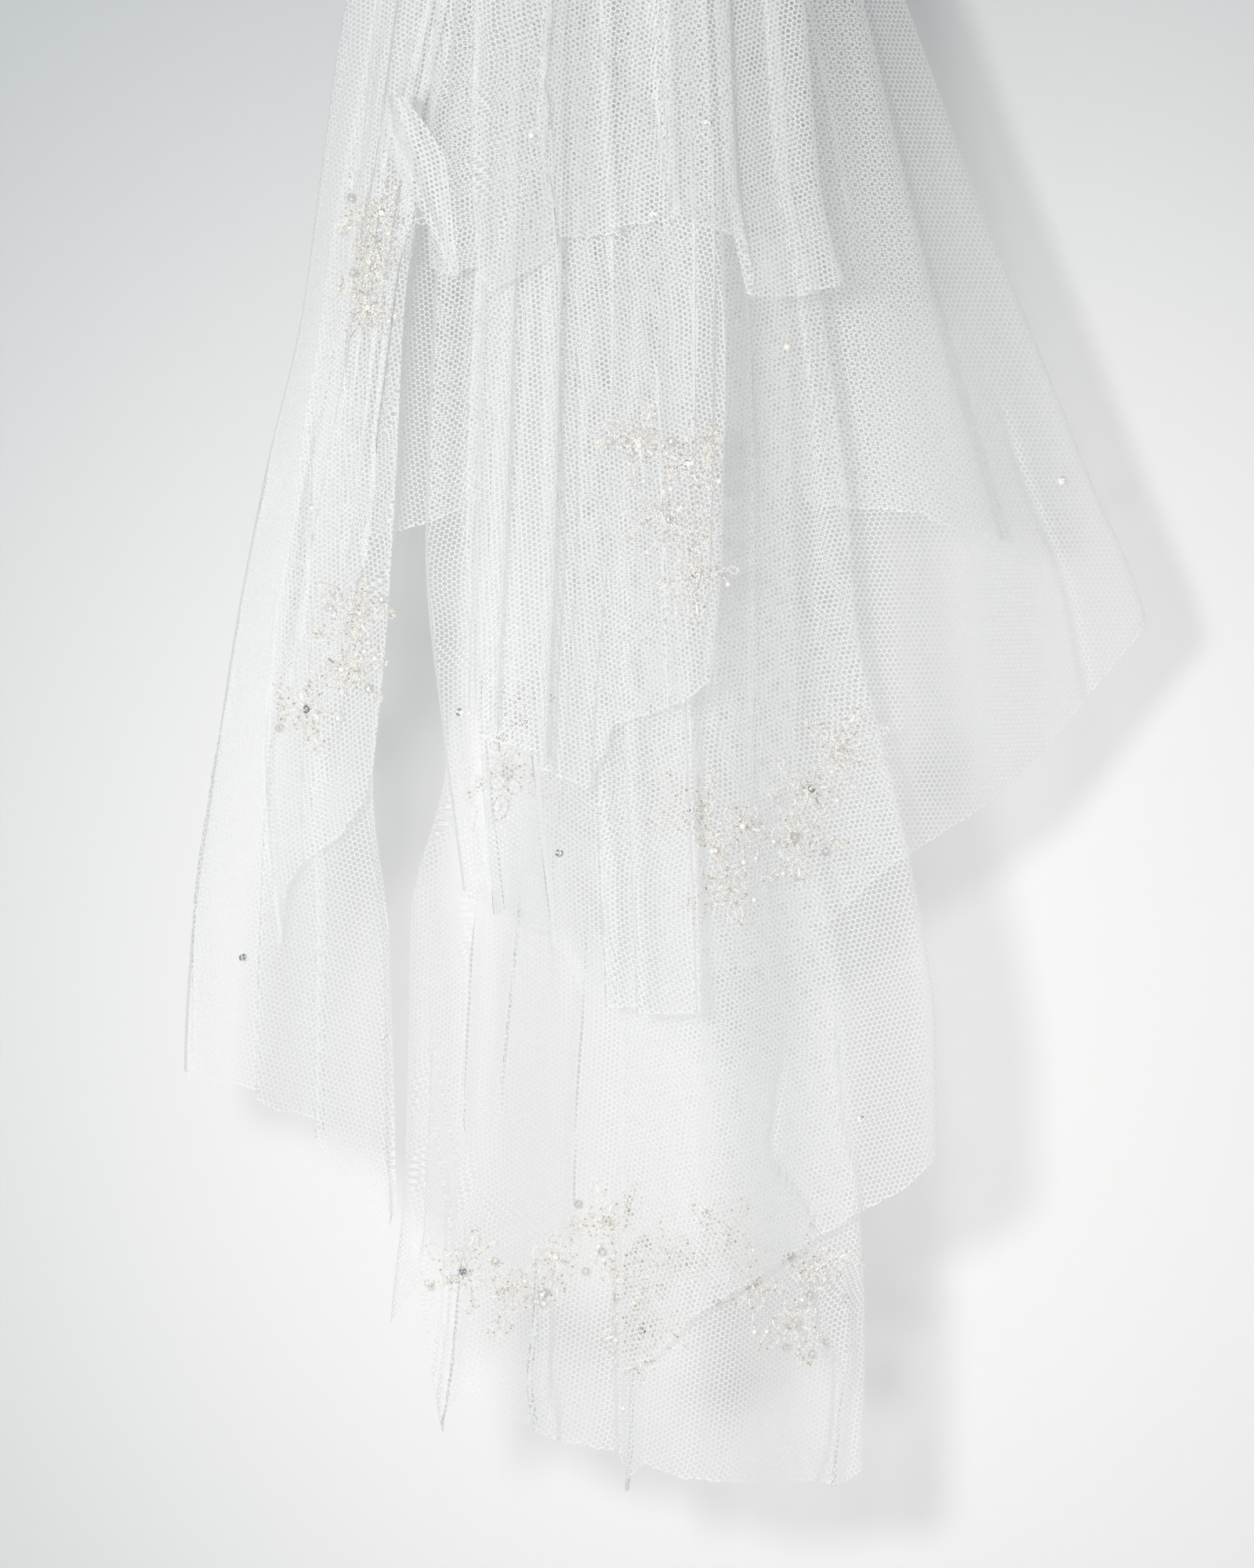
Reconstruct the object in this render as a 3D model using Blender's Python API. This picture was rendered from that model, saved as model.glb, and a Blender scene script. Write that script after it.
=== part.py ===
"""Bridal veil: nine stretches of tulle gathered onto a comb, with beaded lace sewn to four of them.

Lengths are millimetres until a mesh is made. X runs across the veil and Z is up. Minus Y is
the side that shows, plus Y the wearer's side. The comb's spine is at the origin, and a drop
is a distance straight down from it.
"""

import math
from collections import namedtuple

import bmesh
import bpy
from mathutils import Vector
from mathutils.bvhtree import BVHTree

MM = 0.001
CLOTH = 1.0
LACE = 1.0
LACE_GAP = 0.9
FLAP_GAP = 1.2

# The gathers along the comb: four stitches make one, and every layer shares them.
STITCH = 2.375
STITCHES_PER_GATHER = 4
GATHER_DEPTH = 1.2
HEADER = 6.0

# Levels that every layer has near the comb. Below the last one each layer has its own rows.
TOP_LEVELS = (-HEADER, 0.0, 20.0, 50.0, 90.0, 140.0)

# How the layers part from each other below the comb.
# drop, wearer's side of the stack, distance from one layer to the next
LAYERS = (
    (0.0, -0.7, 1.7),
    (20.0, 0.2, 3.6),
    (50.0, 2.5, 6.5),
    (90.0, 20.0, 11.0),
    (140.0, 37.0, 14.5),
    (273.0, 46.0, 16.0),
    (1070.0, 40.0, 16.0),
)

# drop, share of the gathers that is left, share of each layer's own folds, share of the swells
FULLNESS = (
    (0.0, 1.0, 0.0, 0.0),
    (20.0, 0.6, 0.06, 0.05),
    (50.0, 0.0, 0.35, 0.2),
    (90.0, 0.0, 0.7, 0.45),
    (140.0, 0.0, 0.9, 0.65),
    (273.0, 0.0, 1.0, 0.9),
    (1070.0, 0.0, 1.0, 1.1),
)

# drop, half the veil's width
HALF_WIDTH = ((0.0, 47.5), (50.0, 72.0), (140.0, 112.0), (273.0, 152.0), (606.0, 230.0), (1070.0, 240.0))

# Broad swells that run through all layers, over a bow that carries the sides back.
# place as a share of the half width, reach as the same share, depth
BOW = 34.0
SWELLS = (
    (-0.92, 0.22, -8.0),
    (-0.62, 0.26, 10.0),
    (-0.33, 0.24, -11.0),
    (-0.06, 0.25, 10.0),
    (0.20, 0.24, -12.0),
    (0.47, 0.25, 11.0),
    (0.75, 0.26, -9.0),
    (1.08, 0.26, 8.0),
)

# A fold dies out over this drop.
FOLD_END = 160.0

# A place in front of every layer.
AHEAD = -110.0

# The rows above a hem follow it evened out over this many stitches to each side.
HEM_EVENING = 4

# Each stretch of tulle.
# slot: its place in the stack, counted from the comb
# first, last: the stitches along the comb between which it is gathered
# rows: rows of faces between the last shared level and the hem
# edges: drop, left edge, right edge, below the comb
# hem: place across, drop, from left to right
# folds: stitches wide, depth at its deepest, drop where it has died out
Sheet = namedtuple("Sheet", "name slot first last rows edges hem folds")

HEM_END = 1300.0

SHEETS = (
    Sheet(
        "back_right_fall", 1, 3, 20, 5,
        (
            (50.0, 14.0, 68.0), (140.0, 18.0, 104.0), (273.0, 22.0, 156.3),
            (369.0, 24.0, 192.0), (431.0, 24.0, 217.0), (523.0, 22.0, 254.0),
            (604.0, 18.0, 285.4), (790.0, 10.0, 300.0),
        ),
        (
            (14.0, 773.0), (40.0, 788.0), (66.0, 788.0), (94.0, 778.0), (112.0, 765.0),
            (153.0, 732.0), (207.0, 694.0), (250.0, 650.0), (285.4, 604.0),
        ),
        (
            (3, 4.0, 620.0), (3, 4.5, HEM_END), (4, 5.0, HEM_END), (3, 3.5, 560.0), (4, 3.0, HEM_END),
        ),
    ),
    Sheet(
        "shoulder_tier", 2, -20, 20, 4,
        (
            (50.0, -66.0, 66.0), (140.0, -90.0, 98.0), (273.0, -104.0, 131.0),
            (440.0, -116.0, 171.0), (565.0, -124.0, 208.3),
        ),
        (
            (-123.8, 562.0), (-102.0, 551.0), (-75.0, 540.0), (-37.5, 530.0), (4.0, 525.0),
            (46.0, 524.0), (81.0, 537.5), (121.0, 542.0), (162.5, 546.0), (208.0, 560.0),
        ),
        (
            (3, 4.5, HEM_END), (2, 3.0, 420.0), (3, 5.0, HEM_END), (3, 4.0, 500.0), (2, 3.5, HEM_END),
            (3, 5.0, HEM_END), (4, 5.0, HEM_END), (3, 4.0, 460.0), (2, 3.0, HEM_END), (3, 5.0, HEM_END),
            (4, 4.5, HEM_END), (3, 3.5, 520.0), (5, 5.0, HEM_END),
        ),
    ),
    Sheet(
        "long_tier", 3, -18, 18, 7,
        (
            (50.0, -58.0, 56.0), (140.0, -71.0, 70.0), (273.0, -79.0, 86.0),
            (440.0, -82.0, 92.0), (565.0, -84.0, 95.0), (682.0, -92.0, 97.0), (761.0, -111.0, 113.0),
            (815.0, -112.0, 121.0), (898.0, -114.0, 127.0), (981.0, -122.0, 131.0),
            (1067.0, -124.0, 130.0),
        ),
        (
            (-122.0, 977.0), (-106.0, 954.0), (-99.0, 1008.0), (-93.8, 1035.0), (-82.5, 1010.0),
            (-62.5, 1023.0), (-47.5, 1032.5), (-34.0, 1039.0), (0.0, 1046.0), (6.7, 1067.0),
            (13.0, 1051.0), (33.0, 1058.0), (57.0, 1060.0), (106.0, 1061.0), (117.5, 1064.0),
            (130.0, 1055.0),
        ),
        (
            (2, 2.5, 700.0), (3, 4.5, 600.0), (2, 4.0, 580.0), (2, 3.0, 560.0), (3, 4.5, 590.0),
            (2, 4.0, 820.0), (3, 4.5, 760.0), (2, 4.0, 830.0), (2, 3.5, 700.0), (3, 5.0, 850.0),
            (3, 4.0, 800.0), (2, 4.5, 740.0), (2, 3.0, 620.0), (3, 5.0, 820.0), (2, 4.0, 850.0),
        ),
    ),
    Sheet(
        "left_fall", 4, -20, -5, 6,
        (
            (50.0, -72.0, -24.0), (140.0, -112.0, -52.0), (273.0, -145.8, -83.0),
            (356.0, -157.5, -100.0), (440.0, -168.8, -115.0), (523.0, -188.0, -119.0),
            (606.0, -204.0, -124.0), (690.0, -216.7, -131.0), (773.0, -228.0, -122.0),
            (842.0, -231.7, -120.0), (926.0, -232.0, -118.0),
        ),
        (
            (-231.7, 842.0), (-204.0, 853.0), (-175.0, 867.0), (-150.0, 882.0), (-133.0, 926.0),
            (-121.7, 921.0), (-118.0, 910.0),
        ),
        (
            (2, 5.0, HEM_END), (3, 5.5, HEM_END), (2, 4.5, 700.0), (3, 5.5, HEM_END), (2, 5.0, HEM_END),
            (3, 4.5, HEM_END),
        ),
    ),
    Sheet(
        "front_right_fall", 4, 1, 19, 6,
        (
            (50.0, 4.0, 60.0), (140.0, 4.0, 75.0), (273.0, 2.0, 87.0),
            (440.0, 0.0, 109.0), (523.0, -2.0, 120.0), (606.0, -3.0, 126.7), (690.0, -2.0, 145.8),
            (773.0, 0.0, 162.5), (815.0, 0.0, 168.0), (889.0, 0.0, 168.8), (1002.0, 0.0, 167.0),
        ),
        (
            (0.0, 1002.0), (18.0, 993.0), (38.0, 972.5), (71.0, 952.0), (95.0, 937.5),
            (129.0, 917.0), (150.0, 906.0), (168.8, 887.5),
        ),
        (
            (3, 5.0, 600.0), (2, 4.0, 520.0), (3, 5.0, 620.0), (3, 4.5, 600.0), (2, 4.0, 560.0),
            (3, 5.0, 620.0), (2, 4.0, 600.0),
        ),
    ),
    Sheet(
        "left_front_fall", 5, -20, -6, 5,
        (
            (50.0, -66.0, -25.0), (140.0, -98.0, -50.0), (273.0, -128.0, -84.0),
            (356.0, -138.0, -102.0), (440.0, -150.0, -114.0), (523.0, -168.0, -118.0),
            (606.0, -184.0, -123.0), (690.0, -189.0, -131.0), (778.0, -180.0, -138.0),
        ),
        (
            (-180.0, 778.0), (-176.0, 744.0), (-167.0, 731.0), (-148.0, 718.0), (-135.0, 698.0),
            (-130.5, 680.0),
        ),
        (
            (3, 4.0, 360.0), (4, 4.5, 340.0), (3, 4.5, 330.0), (4, 4.0, 350.0),
        ),
    ),
    Sheet(
        "centre_fall", 6, -18, 10, 5,
        (
            (50.0, -58.0, 30.0), (140.0, -77.0, 37.0), (273.0, -88.0, 42.0),
            (440.0, -98.0, 42.0), (565.0, -102.0, 36.0), (668.0, -92.0, 38.0), (773.0, -79.0, 42.0),
            (812.0, -76.0, 43.0),
        ),
        (
            (-82.0, 745.0), (-62.5, 755.0), (-52.5, 759.0), (-29.0, 780.0), (-16.3, 806.0),
            (-4.6, 807.5), (19.0, 811.0), (42.8, 810.0),
        ),
        (
            (3, 5.0, HEM_END), (2, 4.0, 640.0), (3, 5.5, HEM_END), (2, 4.0, HEM_END), (3, 5.0, 700.0),
            (3, 5.5, HEM_END), (2, 3.5, 600.0), (3, 5.0, HEM_END), (3, 4.5, HEM_END), (4, 4.5, HEM_END),
        ),
    ),
    Sheet(
        "elbow_tier", 7, -14, 12, 4,
        (
            (50.0, -45.0, 36.0), (140.0, -58.0, 42.0), (273.0, -66.0, 46.0),
            (440.0, -72.0, 56.0), (565.0, -76.0, 54.6), (640.0, -79.0, 48.0), (694.0, -81.0, 46.0),
        ),
        (
            (-80.0, 650.0), (-58.0, 669.0), (-35.0, 685.0), (-15.0, 694.0), (-3.8, 660.0),
            (14.6, 654.0), (34.6, 647.0), (48.0, 635.0),
        ),
        (
            (3, 5.0, HEM_END), (2, 4.0, HEM_END), (3, 5.0, HEM_END), (3, 4.5, 560.0), (2, 4.0, 480.0),
            (3, 5.0, 450.0), (3, 5.0, 440.0), (3, 4.5, 450.0), (4, 4.0, 440.0),
        ),
    ),
    Sheet(
        "short_tier", 8, -17, 18, 4,
        (
            (50.0, -57.0, 60.0), (140.0, -79.0, 81.0), (273.0, -96.0, 96.7),
            (377.0, -100.0, 106.0), (435.0, -99.0, 120.0),
        ),
        (
            (-99.5, 419.0), (-84.6, 424.0), (-70.8, 412.0), (-55.0, 434.6), (-41.7, 405.0),
            (-12.5, 403.0), (17.5, 396.0), (29.0, 382.0), (42.5, 394.0), (52.0, 403.0),
            (67.5, 434.0), (87.5, 434.6), (107.5, 432.5), (119.5, 427.0),
        ),
        (
            (3, 1.0, HEM_END), (2, 4.0, HEM_END), (3, 5.5, HEM_END), (3, 5.0, HEM_END), (2, 4.0, 340.0),
            (3, 5.5, HEM_END), (2, 4.5, HEM_END), (4, 5.5, HEM_END), (3, 5.5, HEM_END), (2, 4.0, HEM_END),
            (3, 5.0, HEM_END), (2, 4.0, 330.0), (3, 5.0, HEM_END),
        ),
    ),
)

# The corner of the short tier that is turned over to the front.
# drop, left edge, right edge, how far the free side stands off
TURNED_CORNER = (
    (329.0, -124.0, -113.0, 12.0),
    (348.0, -125.5, -99.0, 11.0),
    (364.0, -119.0, -90.5, 9.0),
    (386.0, -106.0, -88.0, 6.0),
    (403.0, -97.0, -86.0, 3.0),
    (423.0, -87.0, -83.5, 1.0),
)
CORNER_COLUMNS = 6
EDGE_MARGIN = 2.0

# A lace flower has five open petals between a solid eye and a scalloped rim.
PETALS = 5
EDGES_TO_A_PETAL = 3
EYE = 0.34
PETAL_END = 0.76
RIM = 0.90
SPOKE_HALF_ANGLE = math.radians(9.0)
EYE_SPOKE_HALF_ANGLE = math.radians(17.0)

# An open leaf on the rim, between two petals.
LEAF_HALF_WIDTH = 0.30
LEAF_BAND = 1.5

# Each piece of lace.
# flowers: place across, drop, radius, turn in degrees
# leaves: flower that it grows from, notch that it starts at, length
Spray = namedtuple("Spray", "name sheet flowers leaves")

SPRAYS = (
    Spray(
        "lace_upper_left", "left_front_fall",
        ((-126.0, 386.0, 10.0, 0.0), (-130.0, 411.0, 10.5, 20.0), (-133.0, 437.0, 10.0, 50.0)),
        ((0, 4, 14.0), (2, 1, 13.0)),
    ),
    Spray(
        "lace_lower_left", "left_front_fall",
        ((-140.0, 602.0, 11.0, 10.0), (-147.0, 629.0, 12.0, 40.0), (-166.0, 650.0, 11.0, 0.0)),
        ((0, 3, 16.0), (0, 2, 14.0), (2, 3, 12.0), (2, 1, 15.0)),
    ),
    Spray(
        "lace_centre", "elbow_tier",
        ((11.0, 512.0, 10.0, 0.0), (36.0, 522.0, 12.0, 25.0), (27.0, 551.0, 12.0, 60.0),
         (40.0, 580.0, 12.0, 15.0)),
        ((0, 3, 14.0), (0, 4, 13.0), (1, 4, 12.0), (3, 1, 14.0), (3, 2, 13.0)),
    ),
    Spray(
        "lace_under", "long_tier",
        ((-50.0, 656.0, 11.0, 5.0), (-59.0, 684.0, 12.0, 30.0)),
        ((0, 4, 14.0), (0, 3, 14.0), (1, 1, 15.0), (1, 0, 14.0)),
    ),
    Spray(
        "lace_right", "front_right_fall",
        ((119.0, 671.0, 10.5, 0.0), (102.0, 692.0, 10.5, 30.0), (93.0, 718.0, 12.0, 10.0),
         (65.0, 712.0, 12.0, 50.0), (38.0, 704.0, 11.0, 20.0), (56.0, 741.0, 12.0, 0.0)),
        (
            (0, 4, 14.0), (0, 3, 14.0), (2, 0, 14.0), (2, 1, 14.0), (4, 2, 14.0), (4, 3, 14.0),
            (5, 2, 14.0), (5, 1, 14.0),
        ),
    ),
    Spray(
        "lace_hem_left", "long_tier",
        ((-83.0, 948.0, 11.0, 0.0), (-57.0, 958.0, 11.5, 30.0), (-34.0, 941.0, 12.0, 15.0)),
        ((0, 3, 14.0), (0, 4, 14.0), (2, 1, 14.0), (1, 1, 14.0)),
    ),
    Spray(
        "lace_hem_middle", "long_tier",
        ((-7.0, 922.0, 11.0, 40.0), (3.0, 950.0, 12.0, 0.0), (12.0, 979.0, 11.0, 20.0),
         (29.0, 939.0, 11.0, 50.0)),
        ((0, 3, 14.0), (0, 4, 14.0), (2, 1, 14.0), (2, 0, 14.0), (2, 2, 14.0)),
    ),
    Spray(
        "lace_hem_right", "long_tier",
        ((56.0, 930.0, 11.0, 10.0), (70.0, 956.0, 12.5, 35.0), (94.0, 975.0, 11.5, 0.0),
         (106.0, 948.0, 11.0, 45.0)),
        (
            (0, 4, 14.0), (0, 3, 14.0), (2, 1, 14.0), (2, 2, 14.0), (3, 3, 14.0), (3, 4, 9.0),
        ),
    ),
)

# The comb.
COMB_WIDTH = 100.0
COMB_THICKNESS = 2.0
SPINE_HEIGHT = 5.0
TEETH = 14
TOOTH_ROOT = 2.6
TOOTH_TIP = 1.2
TOOTH_BEND = 8.0
# share of the tooth's length, where its rows are
TOOTH_ROWS = (0.0, 0.4, 0.75, 1.0)
TOOTH_LENGTH = 36.0

TULLE_WHITE = (0.90, 0.90, 0.91)
LACE_WHITE = (0.86, 0.85, 0.82)
SILVER = (0.72, 0.72, 0.73)


def clear_scene():
    """Removes whatever the file opened with."""
    for item in list(bpy.data.objects):
        bpy.data.objects.remove(item, do_unlink=True)


def make_material(name, colour, roughness, metallic=0.0):
    """A plain finish for one piece."""
    material = bpy.data.materials.new(name)
    material.use_nodes = True
    shader = material.node_tree.nodes["Principled BSDF"]
    shader.inputs["Base Color"].default_value = (*colour, 1.0)
    shader.inputs["Roughness"].default_value = roughness
    shader.inputs["Metallic"].default_value = metallic
    return material


def rise(rows, i, column):
    """The slope of a table's column between row i and the next."""
    return (rows[i + 1][column] - rows[i][column]) / (rows[i + 1][0] - rows[i][0])


def tangent(rows, i, column):
    """The slope at row i of a smooth curve that never overshoots the table's rows."""
    if i == 0:
        return rise(rows, 0, column)
    if i == len(rows) - 1:
        return rise(rows, i - 1, column)
    before = rise(rows, i - 1, column)
    after = rise(rows, i, column)
    if before * after <= 0.0:
        return 0.0
    return 2.0 * before * after / (before + after)


def row_before(rows, at):
    """The last row that starts at or before a place, with a row after it."""
    i = 0
    while i < len(rows) - 2 and rows[i + 1][0] <= at:
        i += 1
    return i


def smooth(rows, at):
    """All columns of a table but the first, at a place in the first, on smooth curves."""
    at = min(max(at, rows[0][0]), rows[-1][0])
    i = row_before(rows, at)
    span = rows[i + 1][0] - rows[i][0]
    t = (at - rows[i][0]) / span
    values = []
    for column in range(1, len(rows[0])):
        start = tangent(rows, i, column) * span
        end = tangent(rows, i + 1, column) * span
        values.append(
            (2 * t**3 - 3 * t**2 + 1) * rows[i][column]
            + (t**3 - 2 * t**2 + t) * start
            + (3 * t**2 - 2 * t**3) * rows[i + 1][column]
            + (t**3 - t**2) * end
        )
    return values


def straight(rows, at):
    """The second column of a table at a place in the first, on straight lines."""
    at = min(max(at, rows[0][0]), rows[-1][0])
    i = row_before(rows, at)
    return rows[i][1] + rise(rows, i, 1) * (at - rows[i][0])


def bell(t):
    """A soft bump: 1 at the middle, 0 from a distance of 1."""
    return math.cos(math.pi * t / 2) ** 2 if abs(t) < 1.0 else 0.0


def swell(x, drop):
    """How far the broad swells and the bow carry every layer back at one place."""
    (half,) = smooth(HALF_WIDTH, drop)
    share = smooth(FULLNESS, drop)[2]
    at = x / half
    bumps = sum(depth * bell((at - place) / reach) for place, reach, depth in SWELLS)
    return share * (BOW * at * at + bumps)


def fold(sheet, stitch, drop):
    """The depth of a layer's own fold at a stitch: folds turn to the front and back by turns."""
    side = -1.0
    start = sheet.first
    for stitches, depth, end in sheet.folds:
        if stitch <= start + stitches:
            t = (stitch - start) / stitches
            left = min(max((end - drop) / FOLD_END, 0.0), 1.0)
            return side * depth * math.sin(math.pi * t) * left
        start += stitches
        side = -side
    return 0.0


def sides(sheet, drop):
    """A layer's left and right edges at a drop, from its end stitches on the comb downwards."""
    on_comb = (0.0, sheet.first * STITCH, sheet.last * STITCH)
    return smooth((on_comb, *sheet.edges), drop)


def cloth_point(sheet, stitch, drop):
    """A point of a layer's middle surface, below a stitch of the comb."""
    gathers, folds, _ = smooth(FULLNESS, drop)
    back, step = smooth(LAYERS, drop)
    left, right = sides(sheet, drop)
    across = (stitch - sheet.first) / (sheet.last - sheet.first)
    x = left + (right - left) * across
    y = back - step * sheet.slot
    y += GATHER_DEPTH * gathers * math.sin(2 * math.pi * stitch / STITCHES_PER_GATHER)
    y += folds * fold(sheet, stitch, drop)
    y += swell(x, drop)
    return Vector((x, y, -drop))


def hem_drop(sheet, stitch):
    """How far down the hem is below a stitch."""
    shares = []
    for x, drop in sheet.hem:
        left, right = sides(sheet, drop)
        shares.append(((x - left) / (right - left), drop))
    across = (stitch - sheet.first) / (sheet.last - sheet.first)
    return straight(shares, across)


def levels(sheet, stitch):
    """The drops of a layer's rows below a stitch: even ones, and the hem with its points."""
    start = TOP_LEVELS[-1]
    near = range(stitch - HEM_EVENING, stitch + HEM_EVENING + 1)
    hems = [hem_drop(sheet, min(max(s, sheet.first), sheet.last)) for s in near]
    step = (sum(hems) / len(hems) - start) / sheet.rows
    even = [start + step * (i + 1) for i in range(sheet.rows - 1)]
    return [*TOP_LEVELS, *even, hem_drop(sheet, stitch)]


def cloth_grid(sheet):
    """A layer's points: a column for each stitch, from the header to the hem."""
    columns = []
    for stitch in range(sheet.first, sheet.last + 1):
        columns.append([cloth_point(sheet, stitch, drop) for drop in levels(sheet, stitch)])
    return columns


def grid_faces(columns, rows):
    """The three-sided faces of a grid whose points run down each column."""
    faces = []
    for c in range(columns - 1):
        for r in range(rows - 1):
            i = c * rows + r
            faces += [(i, i + 1, i + rows + 1), (i, i + rows + 1, i + rows)]
    return faces


def make_wall(name, points, faces, thickness, material):
    """A closed wall of even thickness about a surface given in millimetres."""
    mesh = bpy.data.meshes.new(name)
    mesh.from_pydata([p * MM for p in points], [], faces)
    mesh.materials.append(material)
    tidy = bmesh.new()
    tidy.from_mesh(mesh)
    bmesh.ops.recalc_face_normals(tidy, faces=tidy.faces)
    tidy.to_mesh(mesh)
    tidy.free()
    mesh.shade_smooth()
    wall = bpy.data.objects.new(name, mesh)
    bpy.context.scene.collection.objects.link(wall)
    solidify = wall.modifiers.new("wall", "SOLIDIFY")
    solidify.thickness = thickness * MM
    solidify.offset = 0.0
    solidify.use_even_offset = True
    return wall


def make_sheet(sheet, material):
    """One stretch of tulle. Returns its middle surface, for what lies on it."""
    grid = cloth_grid(sheet)
    points = [point for column in grid for point in column]
    faces = grid_faces(len(grid), len(grid[0]))
    make_wall(sheet.name, points, faces, CLOTH, material)
    return BVHTree.FromPolygons(points, faces)


def on_cloth(cloth, x, drop, lift):
    """The point that lies a lift in front of a layer, at a place and drop."""
    ahead = Vector((x, AHEAD, -drop))
    point, normal, _, _ = cloth.ray_cast(ahead, Vector((0.0, 1.0, 0.0)))
    return Vector((x, point.y - lift / abs(normal.y), -drop))


def flower_points(x, drop, radius, turn):
    """A flower's flat points: two at each notch on the eye, the petals' ends and the rim, and tips."""
    rings = {"eye": [], "petal": [], "rim": [], "tip": []}
    for k in range(PETALS):
        notch = math.radians(turn) + 2 * math.pi * k / PETALS
        for ring, share, half in (
            ("eye", EYE, EYE_SPOKE_HALF_ANGLE),
            ("petal", PETAL_END, SPOKE_HALF_ANGLE),
            ("rim", RIM, SPOKE_HALF_ANGLE),
        ):
            for angle in (notch - half, notch + half):
                rings[ring].append(
                    (x + radius * share * math.cos(angle), drop + radius * share * math.sin(angle))
                )
        middle = notch + math.pi / PETALS
        rings["tip"].append((x + radius * math.cos(middle), drop + radius * math.sin(middle)))
    return rings


def add_flower(flat, faces, flower):
    """Adds a flower's points and faces, and returns its rim's edges in order."""
    start = len(flat)
    rings = flower_points(*flower)
    for ring in ("eye", "petal", "rim", "tip"):
        flat.extend(rings[ring])
    double = 2 * PETALS
    eye = [start + i for i in range(double)]
    petal = [start + double + i for i in range(double)]
    rim = [start + 2 * double + i for i in range(double)]
    tip = [start + 3 * double + i for i in range(PETALS)]
    faces.append(tuple(eye))
    edges = []
    for k in range(PETALS):
        a, b = 2 * k, 2 * k + 1
        after = (2 * k + 2) % double
        faces.append((eye[a], petal[a], petal[b], eye[b]))
        faces.append((petal[a], rim[a], rim[b], petal[b]))
        faces.append((petal[b], rim[b], tip[k], rim[after], petal[after]))
        edges += [(rim[a], rim[b]), (rim[b], tip[k]), (tip[k], rim[after])]
    return edges


def middle_of(flat, edge):
    """The middle of a flat edge."""
    (ax, ay), (bx, by) = flat[edge[0]], flat[edge[1]]
    return (ax + bx) / 2, (ay + by) / 2


def facing_edges(flat, one, other):
    """The edges of two rims whose middles are nearest each other."""
    pairs = [(math.dist(middle_of(flat, a), middle_of(flat, b)), a, b) for a in one for b in other]
    _, a, b = min(pairs)
    return a, b


def add_leaf(flat, faces, edge, centre, length):
    """Adds an open leaf that grows outward from a rim's edge."""
    mx, my = middle_of(flat, edge)
    away = math.atan2(my - centre[1], mx - centre[0])
    ux, uy = math.cos(away), math.sin(away)
    width = LEAF_HALF_WIDTH * length
    start = len(flat)

    def place(along, aside):
        flat.append((mx + along * ux - aside * uy, my + along * uy + aside * ux))

    place(0.5 * length, width)
    place(length, 0.0)
    place(0.5 * length, -width)
    place(LEAF_BAND, 0.0)
    place(0.5 * length, width - LEAF_BAND)
    place(length - 1.6 * LEAF_BAND, 0.0)
    place(0.5 * length, LEAF_BAND - width)
    side, tip, back, foot, in_side, in_tip, in_back = range(start, start + 7)
    first, last = edge
    faces += [
        (first, foot, last), (last, foot, in_side, side), (side, in_side, in_tip, tip),
        (tip, in_tip, in_back, back), (back, in_back, foot, first),
    ]


def make_spray(spray, cloth, material):
    """A piece of lace: flowers joined rim to rim, with open leaves, laid on its tulle."""
    flat, faces, rims = [], [], []
    for flower in spray.flowers:
        rims.append(add_flower(flat, faces, flower))
    for one, other in zip(rims, rims[1:]):
        a, b = facing_edges(flat, one, other)
        faces.append((a[0], b[1], b[0], a[1]))
    for index, notch, length in spray.leaves:
        edge = rims[index][EDGES_TO_A_PETAL * notch]
        add_leaf(flat, faces, edge, spray.flowers[index][:2], length)
    lift = (CLOTH + LACE) / 2 + LACE_GAP
    points = [on_cloth(cloth, x, drop, lift) for x, drop in flat]
    return make_wall(spray.name, points, faces, LACE, material)


def make_turned_corner(sheet, cloth, material):
    """The short tier's corner, turned over in front of it and out past its edge."""
    points = []
    lift = CLOTH + FLAP_GAP
    for c in range(CORNER_COLUMNS + 1):
        across = c / CORNER_COLUMNS
        for drop, left, right, stand in TURNED_CORNER:
            x = left + (right - left) * across
            edge = sides(sheet, drop)[0] + EDGE_MARGIN
            above_hem = min(drop, sheet.hem[0][1] - EDGE_MARGIN)
            y = on_cloth(cloth, max(x, edge), above_hem, lift).y
            points.append(Vector((x, y - stand * (1 - across) ** 2, -drop)))
    faces = grid_faces(CORNER_COLUMNS + 1, len(TURNED_CORNER))
    return make_wall("turned_corner", points, faces, CLOTH, material)


def make_comb(material):
    """A spine with a row of tapered teeth that bend towards the wearer."""
    pitch = (COMB_WIDTH - TOOTH_ROOT) / (TEETH - 1)
    flat, faces = [], []
    top = []
    root = []
    for tooth in range(TEETH):
        middle = -COMB_WIDTH / 2 + TOOTH_ROOT / 2 + pitch * tooth
        for side in (-1, 1):
            top.append(len(flat))
            flat.append((middle + side * TOOTH_ROOT / 2, -SPINE_HEIGHT / 2))
        rows = []
        for share in TOOTH_ROWS:
            width = TOOTH_ROOT + (TOOTH_TIP - TOOTH_ROOT) * share
            drop = SPINE_HEIGHT / 2 + TOOTH_LENGTH * share
            rows.append((len(flat), len(flat) + 1))
            flat += [(middle - width / 2, drop), (middle + width / 2, drop)]
        root += rows[0]
        for upper, lower in zip(rows, rows[1:]):
            faces.append((*upper, lower[1], lower[0]))
    for i in range(len(top) - 1):
        faces.append((top[i], top[i + 1], root[i + 1], root[i]))
    points = []
    for x, drop in flat:
        down = max(drop - SPINE_HEIGHT / 2, 0.0) / TOOTH_LENGTH
        points.append(Vector((x, COMB_THICKNESS / 2 + TOOTH_BEND * down * down, -drop)))
    return make_wall("comb", points, faces, COMB_THICKNESS, material)


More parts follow.
